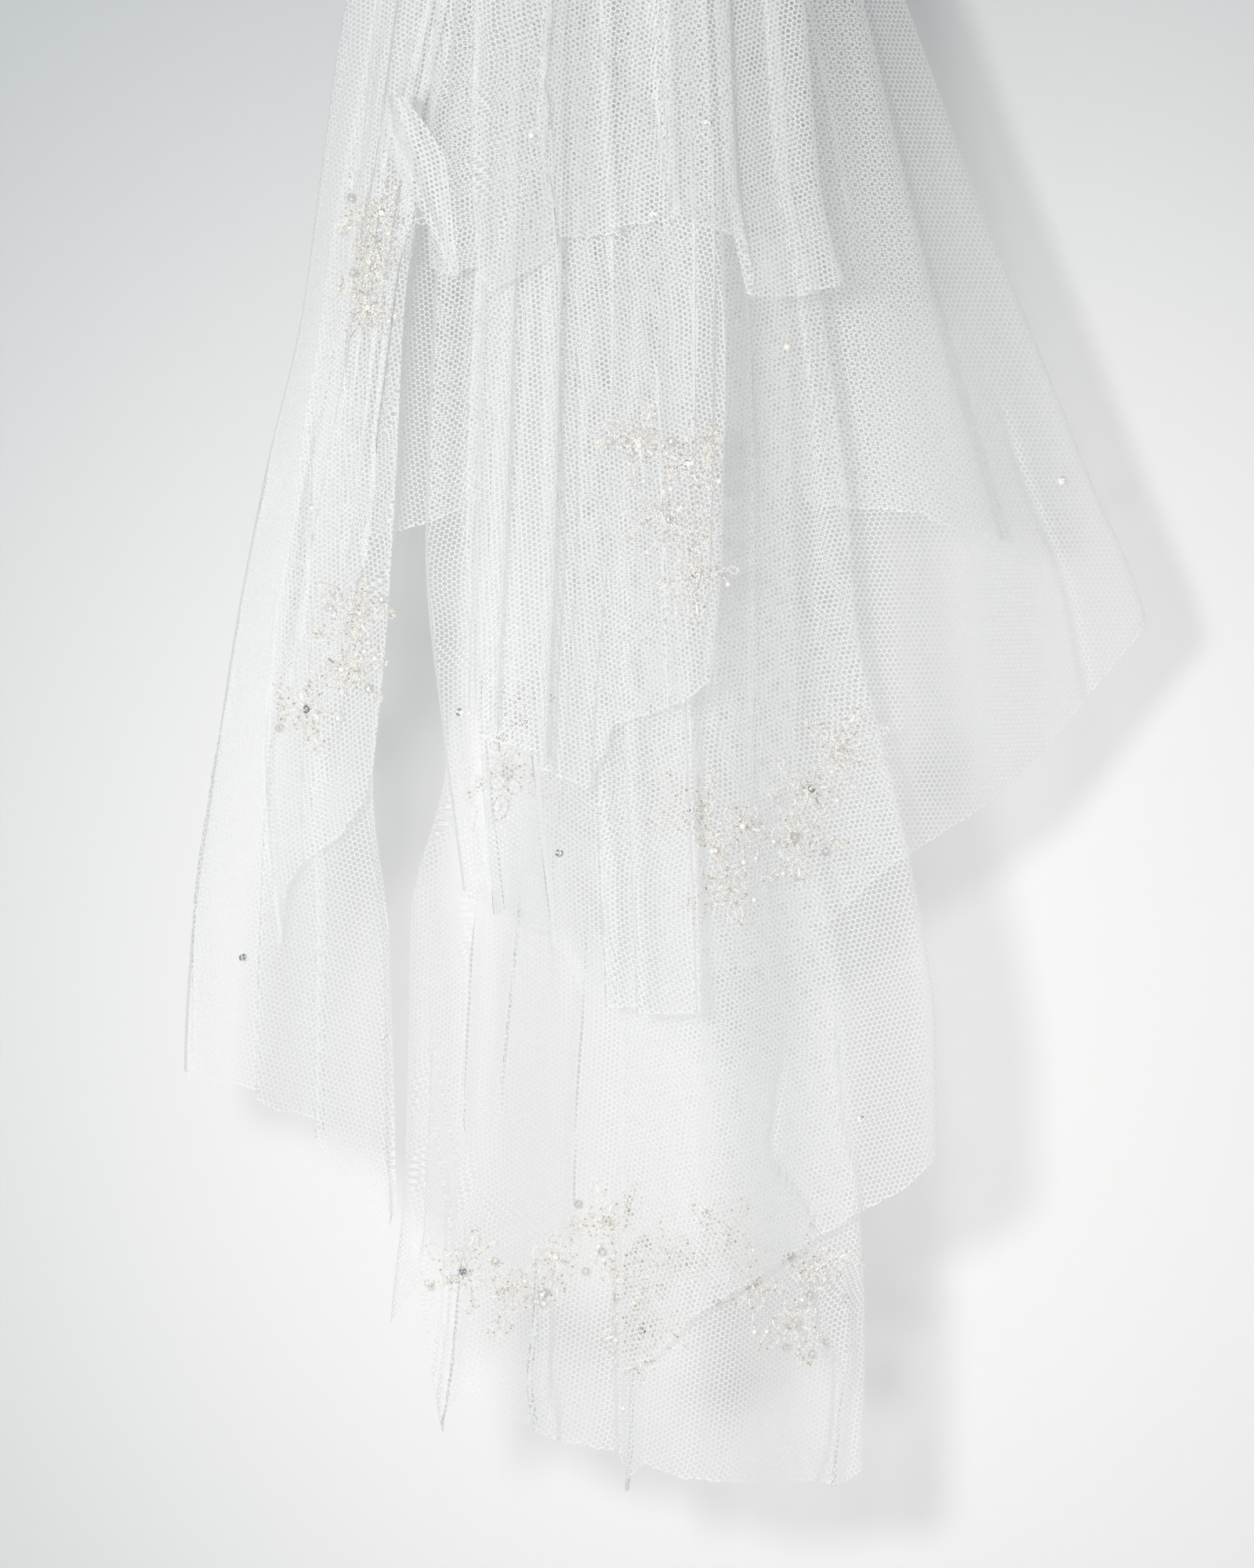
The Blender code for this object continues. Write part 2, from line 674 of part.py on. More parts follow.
def build_veil():
    """Makes every piece, from the comb outwards."""
    clear_scene()
    make_comb(make_material("comb_silver", SILVER, 0.3, 1.0))
    tulle = make_material("tulle_white", TULLE_WHITE, 0.7)
    lace = make_material("lace_ivory", LACE_WHITE, 0.45)
    cloth = {sheet.name: make_sheet(sheet, tulle) for sheet in SHEETS}
    short_tier = SHEETS[-1]
    make_turned_corner(short_tier, cloth[short_tier.name], tulle)
    for spray in SPRAYS:
        make_spray(spray, cloth[spray.sheet], lace)


build_veil()
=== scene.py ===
# %% [markdown]
# # A bridal veil: sheer tulle, beaded lace and a comb
#
# The lesson dresses the plain solids of a veil. It has nine stretches of tulle, one over the other,
# and each is gathered onto a comb and left to hang. The first cell loads the solids as a fixed
# frame, so that every new piece lies where its solid is.

# %% Load the frame
import math
from collections import Counter, namedtuple

import bpy
import numpy as np
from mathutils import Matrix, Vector
from mathutils.bvhtree import BVHTree


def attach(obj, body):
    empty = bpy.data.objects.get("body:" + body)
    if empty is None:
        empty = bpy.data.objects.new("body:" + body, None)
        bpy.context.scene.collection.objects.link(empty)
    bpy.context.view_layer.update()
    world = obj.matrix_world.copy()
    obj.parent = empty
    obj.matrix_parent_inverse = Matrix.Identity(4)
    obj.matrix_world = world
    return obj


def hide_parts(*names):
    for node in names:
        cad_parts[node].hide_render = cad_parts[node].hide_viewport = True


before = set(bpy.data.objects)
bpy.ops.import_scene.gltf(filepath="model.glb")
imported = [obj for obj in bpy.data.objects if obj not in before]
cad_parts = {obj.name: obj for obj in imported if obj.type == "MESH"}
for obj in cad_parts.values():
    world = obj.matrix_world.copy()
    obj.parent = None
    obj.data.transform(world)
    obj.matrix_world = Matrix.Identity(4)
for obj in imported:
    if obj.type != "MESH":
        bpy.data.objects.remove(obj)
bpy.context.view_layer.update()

MM = 0.001

# %% [markdown]
# ## Two helpers for materials
#
# Colours are read off fabric and metal as sRGB hex values, but a shader wants linear light, so one
# function turns one into the other. A second one adds any node with its settings and its inputs.
# An input that is given another node's socket becomes a link, and any other becomes a value.

# %% Colours and nodes
def linear(hex_value):
    """An sRGB hex value as linear red, green, blue and a full alpha."""
    parts = [int(hex_value[i:i + 2], 16) / 255 for i in (1, 3, 5)]
    return (*[c / 12.92 if c <= 0.04045 else ((c + 0.055) / 1.055) ** 2.4 for c in parts], 1.0)


def add(tree, kind, settings, inputs):
    """Adds a node with its settings, and fills or links its inputs."""
    node = tree.nodes.new(kind)
    for name, value in settings.items():
        setattr(node, name, value)
    for name, value in inputs.items():
        if isinstance(value, bpy.types.NodeSocket):
            tree.links.new(value, node.inputs[name])
        else:
            node.inputs[name].default_value = value
    return node


def new_material(name):
    """An empty material and its tree."""
    material = bpy.data.materials.new(name)
    material.use_nodes = True
    material.node_tree.nodes.clear()
    return material, material.node_tree


print("warm white in linear light:", [round(c, 3) for c in linear("#F4EFE4")])

# %% [markdown]
# ## The camera
#
# The veil is a little over a metre long, and a long lens from five metres away shows it almost
# without perspective. The camera's height and its place across set what the frame cuts off: the
# comb and the top quarter of the veil lie above it.

# %% The camera
VIEW_HEIGHT = 0.8333
VIEW_CENTRE = Vector((0.0042, 0.0, -0.6896))
CAMERA_DISTANCE = 5.0
SENSOR = 36.0

camera_data = bpy.data.cameras.new("camera")
camera_data.sensor_width = SENSOR
camera_data.lens = SENSOR * CAMERA_DISTANCE / VIEW_HEIGHT
camera = bpy.data.objects.new("camera", camera_data)
camera.location = VIEW_CENTRE - Vector((0.0, CAMERA_DISTANCE, 0.0))
camera.rotation_euler = (math.radians(90), 0.0, 0.0)
bpy.context.scene.collection.objects.link(camera)
bpy.context.scene.camera = camera
bpy.context.scene.view_settings.view_transform = "Standard"
print("lens:", round(camera_data.lens), "mm")

# %% [markdown]
# ## A wall, a floor and soft light
#
# White net shows only against a tone that differs a little from its own. The veil hangs two hands'
# width off a pale painted wall, so its own soft shadow lies beside it and draws its folds. The wall
# and the floor are painted on one side only: seen from behind they let the view through, so that
# the veil's back can be looked at too. Light is painted into the paint as well: it is brightest
# near the veil and greyer far from it, a painted falloff, as a wall is when one lamp lights it.

# %% Flat sheets for the stage
WALL_AT = 0.215
FLOOR_AT = -1.40
STAGE_HALF = 9.0
WALL_TOP = 4.0


def stage_plane(name, corners, material):
    """A flat sheet of the stage."""
    mesh = bpy.data.meshes.new(name)
    mesh.from_pydata(corners, [], [(0, 1, 2, 3)])
    mesh.materials.append(material)
    plane = bpy.data.objects.new(name, mesh)
    bpy.context.scene.collection.objects.link(plane)
    return plane


print("the wall is", WALL_AT, "m behind the comb and the floor", -FLOOR_AT, "m under it")

# %% [markdown]
# Matt paint scatters light evenly, so it gets a high roughness and hardly any gloss, with a very
# fine grain from the roller. A ramp from one place outwards paints shade into it, greyer far off:
# that is a painted falloff of light, not a tone of the paint. The node that tells the two sides of
# a surface apart leaves the unpainted side clear.

# %% Matt paint with a painted falloff of light
GRAIN_SCALE = 900.0
GRAIN_DEPTH = 0.2 * MM


def matt_paint_with_painted_falloff(name, stops, middle, reach):
    """Matt paint with painted light: its tone falls off with the distance from one place."""
    material, tree = new_material(name)
    place = add(tree, "ShaderNodeNewGeometry", {}, {})
    away = add(tree, "ShaderNodeVectorMath", {"operation": "DISTANCE"},
               {0: place.outputs["Position"], 1: middle})
    share = add(tree, "ShaderNodeMath", {"operation": "DIVIDE"},
                {0: away.outputs["Value"], 1: reach})
    ramp = add(tree, "ShaderNodeValToRGB", {}, {0: share.outputs[0]})
    ramp.color_ramp.interpolation = "B_SPLINE"
    first, last = ramp.color_ramp.elements
    first.color, last.color = linear(stops[0]), linear(stops[-1])
    for i, tone in enumerate(stops[1:-1], 1):
        ramp.color_ramp.elements.new(i / (len(stops) - 1)).color = linear(tone)
    grain = add(tree, "ShaderNodeTexNoise", {},
                {"Vector": place.outputs["Position"], "Scale": GRAIN_SCALE})
    bump = add(tree, "ShaderNodeBump", {},
               {"Height": grain.outputs[0], "Strength": 0.05, "Distance": GRAIN_DEPTH})
    paint = add(tree, "ShaderNodeBsdfPrincipled", {},
                {"Base Color": ramp.outputs[0], "Roughness": 0.9, "Specular IOR Level": 0.2,
                 "Normal": bump.outputs[0]})
    clear = add(tree, "ShaderNodeBsdfTransparent", {}, {})
    sides = add(tree, "ShaderNodeMixShader", {},
                {0: place.outputs["Backfacing"], 1: paint.outputs[0], 2: clear.outputs[0]})
    add(tree, "ShaderNodeOutputMaterial", {}, {"Surface": sides.outputs[0]})
    return material


# Painted light: the wall's ramp paints the lamp's falloff, white near the veil to a cool grey far
# off, and the floor's ramp paints a greyer far side.
wall_paint_with_painted_falloff = matt_paint_with_painted_falloff("matt_wall_paint", ("#F8F8F8", "#F6F6F6", "#E7E8E8", "#C9CDCF", "#B2B8BB"),
                        (0.17, WALL_AT, -0.84), 0.95)
floor_paint_with_painted_falloff = matt_paint_with_painted_falloff("matt_floor_paint", ("#F1F1F1", "#E2E4E5"), (0.0, 0.0, FLOOR_AT), 4.0)
print("paints:", wall_paint_with_painted_falloff.name, floor_paint_with_painted_falloff.name)

# %% Wall and floor
left, right, front, rear = -STAGE_HALF, STAGE_HALF, -STAGE_HALF, STAGE_HALF
wall = stage_plane("wall", [(left, WALL_AT, FLOOR_AT), (right, WALL_AT, FLOOR_AT),
                            (right, WALL_AT, WALL_TOP), (left, WALL_AT, WALL_TOP)], wall_paint_with_painted_falloff)
floor = stage_plane("floor", [(left, front, FLOOR_AT), (right, front, FLOOR_AT),
                              (right, rear, FLOOR_AT), (left, rear, FLOOR_AT)], floor_paint_with_painted_falloff)
print("stage:", wall.name, [round(v, 1) for v in wall.dimensions], floor.name)

# %% [markdown]
# The key light is a small softbox level with the veil, a little to the left of the lens. Its size
# and its distance give the shadows their soft rims. A broad weak lamp behind shines through the
# unpainted side of the wall onto the veil's back, and net passes some of that light on to the
# front. The pale room around does the rest, as an even light from all sides. Light has to pass
# many layers of net, so rays may cross up to forty holes and bounce a few times.

# %% Light
ROOM_STRENGTH = 0.56
HOLES_CROSSED = 40
BOUNCES = 6
MATT_BOUNCES = 4

Lamp = namedtuple("Lamp", "name place aim size watts colour")

LAMPS = (
    Lamp("softbox", (-0.62, -2.9, -0.45), (0.0, 0.1, -0.7), 0.36, 46.0, "#FFFEFC"),
    Lamp("back_glow", (0.9, 3.2, 0.6), (0.0, 0.0, -0.5), 1.6, 50.0, "#FDFEFF"),
)

for lamp in LAMPS:
    data = bpy.data.lights.new(lamp.name, "AREA")
    data.shape = "DISK"
    data.size = lamp.size
    data.energy = lamp.watts
    data.color = linear(lamp.colour)[:3]
    light = bpy.data.objects.new(lamp.name, data)
    light.location = lamp.place
    aim = Vector(lamp.aim) - Vector(lamp.place)
    light.rotation_euler = aim.to_track_quat("-Z", "Y").to_euler()
    light.visible_camera = False
    bpy.context.scene.collection.objects.link(light)

room = bpy.data.worlds.new("pale_room")
room.use_nodes = True
room.node_tree.nodes["Background"].inputs[0].default_value = linear("#F4F4F4")
room.node_tree.nodes["Background"].inputs[1].default_value = ROOM_STRENGTH
bpy.context.scene.world = room
bounces = bpy.context.scene.cycles
bounces.transparent_max_bounces = HOLES_CROSSED
bounces.max_bounces = BOUNCES
bounces.diffuse_bounces = MATT_BOUNCES
print("lamps:", [lamp.name for lamp in LAMPS])

# %% [markdown]
# ## Nylon tulle
#
# Tulle is a warp-knitted net of thin nylon thread with six-sided holes. It could be built thread by
# thread, but that is millions of threads, so the net is drawn on a thin sheet: the holes let light
# through and the threads don't. Three waves that cross at 60 degrees add up to such a honeycomb.
# Bridal tulle has holes about 1.5 mm apart, which a render of this size can't show, so they are
# drawn 2.9 mm apart. Seen edge-on the threads close the holes, so a fold shows as a denser line.

# %% A net of six-sided holes
NET_PITCH = 2.9 * MM
THREAD_EDGE = (-0.74, -0.90)


def honeycomb(tree, map_name, pitch, thread, filled):
    """A socket: 1 on the threads of a six-sided net, 0 in its holes, which filled shrinks."""
    wave = 4 * math.pi / (math.sqrt(3) * pitch)
    place = add(tree, "ShaderNodeUVMap", {"uv_map": map_name}, {})
    total = None
    for turn in (0.0, 60.0, 120.0):
        way = (wave * math.cos(math.radians(turn)), wave * math.sin(math.radians(turn)), 0.0)
        phase = add(tree, "ShaderNodeVectorMath", {"operation": "DOT_PRODUCT"},
                    {0: place.outputs[0], 1: way})
        crest = add(tree, "ShaderNodeMath", {"operation": "COSINE"}, {0: phase.outputs["Value"]})
        if total is None:
            total = crest
        else:
            total = add(tree, "ShaderNodeMath", {"operation": "ADD"},
                        {0: total.outputs[0], 1: crest.outputs[0]})
    level = add(tree, "ShaderNodeMath", {"operation": "SUBTRACT"}, {0: total.outputs[0], 1: filled})
    cover = add(tree, "ShaderNodeMapRange", {"interpolation_type": "SMOOTHSTEP"},
                {"Value": level.outputs[0], "From Min": thread[0], "From Max": thread[1]})
    return cover.outputs[0]


print("threads to the metre across the net:", round(1 / NET_PITCH))

# %% [markdown]
# Nylon thread is clear plastic with a faint gloss, drawn so thin that it looks white. Part of the
# light that falls on it is thrown back and part goes through, so the thread is a mix of a plain
# glossy shader and a translucent one. The holes are fully clear. Where packed folds or an edge-on
# view close the holes, the same sheet turns into nearly solid cloth.

# %% Nylon tulle
CLOSED_EDGE_ON = 2.4
LIGHT_THROUGH = 0.46


def nylon_tulle(name, tones, thread, closing):
    """Sheer net: threads of two near tones that close up where they are seen edge-on."""
    material, tree = new_material(name)
    edge_on = add(tree, "ShaderNodeLayerWeight", {}, {"Blend": 0.5})
    closed = add(tree, "ShaderNodeMapRange", {"interpolation_type": "SMOOTHSTEP"},
                 {"Value": edge_on.outputs["Facing"], "From Min": 0.25, "From Max": 1.0,
                  "To Max": closing})
    packed = add(tree, "ShaderNodeAttribute", {"attribute_name": "packed"}, {})
    filled = add(tree, "ShaderNodeMath", {"operation": "ADD"},
                 {0: packed.outputs["Fac"], 1: closed.outputs[0]})
    threads = honeycomb(tree, "cloth", NET_PITCH, thread, filled.outputs[0])
    tone = add(tree, "ShaderNodeMix", {"data_type": "RGBA"},
               {"Factor": threads, 6: linear(tones[0]), 7: linear(tones[1])})
    front = add(tree, "ShaderNodeBsdfPrincipled", {},
                {"Base Color": tone.outputs["Result"], "Roughness": 0.5,
                 "Specular IOR Level": 0.35})
    through = add(tree, "ShaderNodeBsdfTranslucent", {}, {"Color": tone.outputs["Result"]})
    thread_shader = add(tree, "ShaderNodeMixShader", {},
                        {0: LIGHT_THROUGH, 1: front.outputs[0], 2: through.outputs[0]})
    hole = add(tree, "ShaderNodeBsdfTransparent", {}, {})
    net = add(tree, "ShaderNodeMixShader", {},
              {0: threads, 1: hole.outputs[0], 2: thread_shader.outputs[0]})
    add(tree, "ShaderNodeOutputMaterial", {}, {"Surface": net.outputs[0]})
    return material


tulle = nylon_tulle("white_nylon_tulle", ("#F5F7F8", "#FCFDFD"), THREAD_EDGE, CLOSED_EDGE_ON)
print("nodes in", tulle.name + ":", len(tulle.node_tree.nodes))

# %% [markdown]
# ## How the veil hangs
#
# The cut of a veil is simple, and its shape comes from the gathers. A layer is described by where
# its two edges are at a few drops below the comb, by its hem, and by its folds. These are the
# same sizes that the solids were made from, in millimetres. Minus Y is the side that shows, and a
# drop is a distance straight down from the comb's spine.

# %% Gathers and layers
# The gathers along the comb: four stitches make one, and every layer shares them.
STITCH = 2.375
STITCHES_PER_GATHER = 4
GATHER_DEPTH = 1.2
HEADER = 6.0

# How the layers part from each other below the comb.
# drop, wearer's side of the stack, distance from one layer to the next
LAYERS = (
    (0.0, -0.7, 1.7),
    (20.0, 0.2, 3.6),
    (50.0, 2.5, 6.5),
    (90.0, 20.0, 11.0),
    (140.0, 37.0, 14.5),
    (273.0, 46.0, 16.0),
    (1070.0, 40.0, 16.0),
)

# drop, share of the gathers that is left, share of each layer's own folds, share of the swells
FULLNESS = (
    (0.0, 1.0, 0.0, 0.0),
    (20.0, 0.6, 0.06, 0.05),
    (50.0, 0.0, 0.35, 0.2),
    (90.0, 0.0, 0.7, 0.45),
    (140.0, 0.0, 0.9, 0.65),
    (273.0, 0.0, 1.0, 0.9),
    (1070.0, 0.0, 1.0, 1.1),
)

print("from one layer to the next, low down:", LAYERS[-1][2], "mm")

# %% [markdown]
# Layers that hang from one comb swell together: where one bulges to the front, so do those before
# and behind it, or they would meet. The swells lie over a bow that carries the sides back, as on a
# head. They are given as shares of the veil's half width, so that they spread as the veil does.

# %% Swells through all layers
# drop, half the veil's width
HALF_WIDTH = (
    (0.0, 47.5), (50.0, 72.0), (140.0, 112.0), (273.0, 152.0), (606.0, 230.0), (1070.0, 240.0),
)

# place as a share of the half width, reach as the same share, depth
BOW = 34.0
SWELLS = (
    (-0.92, 0.22, -8.0),
    (-0.62, 0.26, 10.0),
    (-0.33, 0.24, -11.0),
    (-0.06, 0.25, 10.0),
    (0.20, 0.24, -12.0),
    (0.47, 0.25, 11.0),
    (0.75, 0.26, -9.0),
    (1.08, 0.26, 8.0),
)

# A fold dies out over this drop.
FOLD_END = 160.0

print("swells:", len(SWELLS), "over a bow of", BOW, "mm")

# %% [markdown]
# Nine stretches of tulle make the veil. Each row below says where one stretch is gathered onto the
# comb, in stitches, and how its edges, hem and folds run from there.

# %% The nine stretches
# Each stretch of tulle.
# slot: its place in the stack, counted from the comb
# first, last: the stitches along the comb between which it is gathered
# rows: rows of faces that its solid has below its gathers
# edges: drop, left edge, right edge, below the comb
# hem: place across, drop, from left to right
# folds: stitches wide, depth at its deepest, drop where it has died out
Sheet = namedtuple("Sheet", "name slot first last rows edges hem folds")

HEM_END = 1300.0

SHEETS = (
    Sheet(
        "back_right_fall", 1, 3, 20, 5,
        (
            (50.0, 14.0, 68.0), (140.0, 18.0, 104.0), (273.0, 22.0, 156.3),
            (369.0, 24.0, 192.0), (431.0, 24.0, 217.0), (523.0, 22.0, 254.0),
            (604.0, 18.0, 285.4), (790.0, 10.0, 300.0),
        ),
        (
            (14.0, 773.0), (40.0, 788.0), (66.0, 788.0), (94.0, 778.0), (112.0, 765.0),
            (153.0, 732.0), (207.0, 694.0), (250.0, 650.0), (285.4, 604.0),
        ),
        (
            (3, 4.0, 620.0), (3, 4.5, HEM_END), (4, 5.0, HEM_END), (3, 3.5, 560.0),
            (4, 3.0, HEM_END),
        ),
    ),
    Sheet(
        "shoulder_tier", 2, -20, 20, 4,
        (
            (50.0, -66.0, 66.0), (140.0, -90.0, 98.0), (273.0, -104.0, 131.0),
            (440.0, -116.0, 171.0), (565.0, -124.0, 208.3),
        ),
        (
            (-123.8, 562.0), (-102.0, 551.0), (-75.0, 540.0), (-37.5, 530.0), (4.0, 525.0),
            (46.0, 524.0), (81.0, 537.5), (121.0, 542.0), (162.5, 546.0), (208.0, 560.0),
        ),
        (
            (3, 4.5, HEM_END), (2, 3.0, 420.0), (3, 5.0, HEM_END), (3, 4.0, 500.0),
            (2, 3.5, HEM_END),
            (3, 5.0, HEM_END), (4, 5.0, HEM_END), (3, 4.0, 460.0), (2, 3.0, HEM_END),
            (3, 5.0, HEM_END),
            (4, 4.5, HEM_END), (3, 3.5, 520.0), (5, 5.0, HEM_END),
        ),
    ),
    Sheet(
        "long_tier", 3, -18, 18, 7,
        (
            (50.0, -58.0, 56.0), (140.0, -71.0, 70.0), (273.0, -79.0, 86.0),
            (440.0, -82.0, 92.0), (565.0, -84.0, 95.0), (682.0, -92.0, 97.0),
            (761.0, -111.0, 113.0),
            (815.0, -112.0, 121.0), (898.0, -114.0, 127.0), (981.0, -122.0, 131.0),
            (1067.0, -124.0, 130.0),
        ),
        (
            (-122.0, 977.0), (-106.0, 954.0), (-99.0, 1008.0), (-93.8, 1035.0), (-82.5, 1010.0),
            (-62.5, 1023.0), (-47.5, 1032.5), (-34.0, 1039.0), (0.0, 1046.0), (6.7, 1067.0),
            (13.0, 1051.0), (33.0, 1058.0), (57.0, 1060.0), (106.0, 1061.0), (117.5, 1064.0),
            (130.0, 1055.0),
        ),
        (
            (2, 2.5, 700.0), (3, 4.5, 600.0), (2, 4.0, 580.0), (2, 3.0, 560.0), (3, 4.5, 590.0),
            (2, 4.0, 820.0), (3, 4.5, 760.0), (2, 4.0, 830.0), (2, 3.5, 700.0), (3, 5.0, 850.0),
            (3, 4.0, 800.0), (2, 4.5, 740.0), (2, 3.0, 620.0), (3, 5.0, 820.0), (2, 4.0, 850.0),
        ),
    ),
    Sheet(
        "left_fall", 4, -20, -5, 6,
        (
            (50.0, -72.0, -24.0), (140.0, -112.0, -52.0), (273.0, -145.8, -83.0),
            (356.0, -157.5, -100.0), (440.0, -168.8, -115.0), (523.0, -188.0, -119.0),
            (606.0, -204.0, -124.0), (690.0, -216.7, -131.0), (773.0, -228.0, -122.0),
            (842.0, -231.7, -120.0), (926.0, -232.0, -118.0),
        ),
        (
            (-231.7, 842.0), (-204.0, 853.0), (-175.0, 867.0), (-150.0, 882.0), (-133.0, 926.0),
            (-121.7, 921.0), (-118.0, 910.0),
        ),
        (
            (2, 5.0, HEM_END), (3, 5.5, HEM_END), (2, 4.5, 700.0), (3, 5.5, HEM_END),
            (2, 5.0, HEM_END),
            (3, 4.5, HEM_END),
        ),
    ),
    Sheet(
        "front_right_fall", 4, 1, 19, 6,
        (
            (50.0, 4.0, 60.0), (140.0, 4.0, 75.0), (273.0, 2.0, 87.0),
            (440.0, 0.0, 109.0), (523.0, -2.0, 120.0), (606.0, -3.0, 126.7), (690.0, -2.0, 145.8),
            (773.0, 0.0, 162.5), (815.0, 0.0, 168.0), (889.0, 0.0, 168.8), (1002.0, 0.0, 167.0),
        ),
        (
            (0.0, 1002.0), (18.0, 993.0), (38.0, 972.5), (71.0, 952.0), (95.0, 937.5),
            (129.0, 917.0), (150.0, 906.0), (168.8, 887.5),
        ),
        (
            (3, 5.0, 600.0), (2, 4.0, 520.0), (3, 5.0, 620.0), (3, 4.5, 600.0), (2, 4.0, 560.0),
            (3, 5.0, 620.0), (2, 4.0, 600.0),
        ),
    ),
    Sheet(
        "left_front_fall", 5, -20, -6, 5,
        (
            (50.0, -66.0, -25.0), (140.0, -98.0, -50.0), (273.0, -128.0, -84.0),
            (356.0, -138.0, -102.0), (440.0, -150.0, -114.0), (523.0, -168.0, -118.0),
            (606.0, -184.0, -123.0), (690.0, -189.0, -131.0), (778.0, -180.0, -138.0),
        ),
        (
            (-180.0, 778.0), (-176.0, 744.0), (-167.0, 731.0), (-148.0, 718.0), (-135.0, 698.0),
            (-130.5, 680.0),
        ),
        (
            (3, 4.0, 360.0), (4, 4.5, 340.0), (3, 4.5, 330.0), (4, 4.0, 350.0),
        ),
    ),
    Sheet(
        "centre_fall", 6, -18, 10, 5,
        (
            (50.0, -58.0, 30.0), (140.0, -77.0, 37.0), (273.0, -88.0, 42.0),
            (440.0, -98.0, 42.0), (565.0, -102.0, 36.0), (668.0, -92.0, 38.0), (773.0, -79.0, 42.0),
            (812.0, -76.0, 43.0),
        ),
        (
            (-82.0, 745.0), (-62.5, 755.0), (-52.5, 759.0), (-29.0, 780.0), (-16.3, 806.0),
            (-4.6, 807.5), (19.0, 811.0), (42.8, 810.0),
        ),
        (
            (3, 5.0, HEM_END), (2, 4.0, 640.0), (3, 5.5, HEM_END), (2, 4.0, HEM_END),
            (3, 5.0, 700.0),
            (3, 5.5, HEM_END), (2, 3.5, 600.0), (3, 5.0, HEM_END), (3, 4.5, HEM_END),
            (4, 4.5, HEM_END),
        ),
    ),
    Sheet(
        "elbow_tier", 7, -14, 12, 4,
        (
            (50.0, -45.0, 36.0), (140.0, -58.0, 42.0), (273.0, -66.0, 46.0),
            (440.0, -72.0, 56.0), (565.0, -76.0, 54.6), (640.0, -79.0, 48.0), (694.0, -81.0, 46.0),
        ),
        (
            (-80.0, 650.0), (-58.0, 669.0), (-35.0, 685.0), (-15.0, 694.0), (-3.8, 660.0),
            (14.6, 654.0), (34.6, 647.0), (48.0, 635.0),
        ),
        (
            (3, 5.0, HEM_END), (2, 4.0, HEM_END), (3, 5.0, HEM_END), (3, 4.5, 560.0),
            (2, 4.0, 480.0),
            (3, 5.0, 450.0), (3, 5.0, 440.0), (3, 4.5, 450.0), (4, 4.0, 440.0),
        ),
    ),
    Sheet(
        "short_tier", 8, -17, 18, 4,
        (
            (50.0, -57.0, 60.0), (140.0, -79.0, 81.0), (273.0, -96.0, 96.7),
            (377.0, -100.0, 106.0), (435.0, -99.0, 120.0),
        ),
        (
            (-99.5, 419.0), (-84.6, 424.0), (-70.8, 412.0), (-55.0, 434.6), (-41.7, 405.0),
            (-12.5, 403.0), (17.5, 396.0), (29.0, 382.0), (42.5, 394.0), (52.0, 403.0),
            (67.5, 434.0), (87.5, 434.6), (107.5, 432.5), (119.5, 427.0),
        ),
        (
            (3, 1.0, HEM_END), (2, 4.0, HEM_END), (3, 5.5, HEM_END), (3, 5.0, HEM_END),
            (2, 4.0, 340.0),
            (3, 5.5, HEM_END), (2, 4.5, HEM_END), (4, 5.5, HEM_END), (3, 5.5, HEM_END),
            (2, 4.0, HEM_END),
            (3, 5.0, HEM_END), (2, 4.0, 330.0), (3, 5.0, HEM_END),
        ),
    ),
)
print("stretches:", [sheet.name for sheet in SHEETS], "in", max(s.slot for s in SHEETS), "layers")

# %% [markdown]
# A table gives a value at a few places only. In between, the value follows a smooth curve that
# never overshoots the rows. The function below works on whole arrays at once, which is what makes
# a few hundred thousand cloth points quick to place.

# %% Smooth curves through a table
def smooth(rows, at):
    """All columns of a table but the first, at places in the first, on smooth curves."""
    table = np.array(rows, float)
    x, y = table[:, 0], table[:, 1:]
    rise = np.diff(y, axis=0) / np.diff(x)[:, None]
    before, after = rise[:-1], rise[1:]
    same_way = before * after > 0
    middle = np.where(same_way, 2 * before * after / np.where(same_way, before + after, 1.0), 0.0)
    slope = np.vstack([rise[:1], middle, rise[-1:]])
    at = np.clip(at, x[0], x[-1])
    i = np.clip(np.searchsorted(x, at, side="right") - 1, 0, len(x) - 2)
    span = x[i + 1] - x[i]
    t = (at - x[i]) / span
    return [
        (2 * t**3 - 3 * t**2 + 1) * y[i, c] + (t**3 - 2 * t**2 + t) * slope[i, c] * span
        + (3 * t**2 - 2 * t**3) * y[i + 1, c] + (t**3 - t**2) * slope[i + 1, c] * span
        for c in range(y.shape[1])
    ]


def bell(t):
    """A soft bump: 1 at the middle, 0 from a distance of 1."""
    return np.where(np.abs(t) < 1.0, np.cos(np.pi * np.clip(t, -1, 1) / 2) ** 2, 0.0)


def sides(sheet, drop):
    """A layer's left and right edges at a drop."""
    on_comb = (0.0, sheet.first * STITCH, sheet.last * STITCH)
    return smooth((on_comb, *sheet.edges), drop)


print("half the veil's width 400 mm down:", round(float(smooth(HALF_WIDTH, 400.0)[0])), "mm")

# %% [markdown]
# ## Folds in soft net
#
# Net this soft falls in long narrow folds that lean over and lie on themselves. The large folds are
# the solids' own. Three more kinds are laid over them here: fine pleats that run down from the
# gathers, creases where the cloth was folded or crushed, and raw edges that curl back. Each is a
# ridge or a trough, and where a layer leans, its ridges slide sideways over the cloth beside them.
# That gives the crisp bright lines that a leaning fold shows.

# %% Fine pleats and leans
# lean: how far a point slides across for each millimetre that its fold stands out
# wander: how far the folds wander across, in stitches
# pleats: how many fine pleats
# grain: how far the net is turned on the layer, in degrees
# packing: how densely its gathers are packed, against the rest
# pulled: how far its holes are pulled open where it spreads
Lay = namedtuple("Lay", "lean wander pleats grain packing pulled")

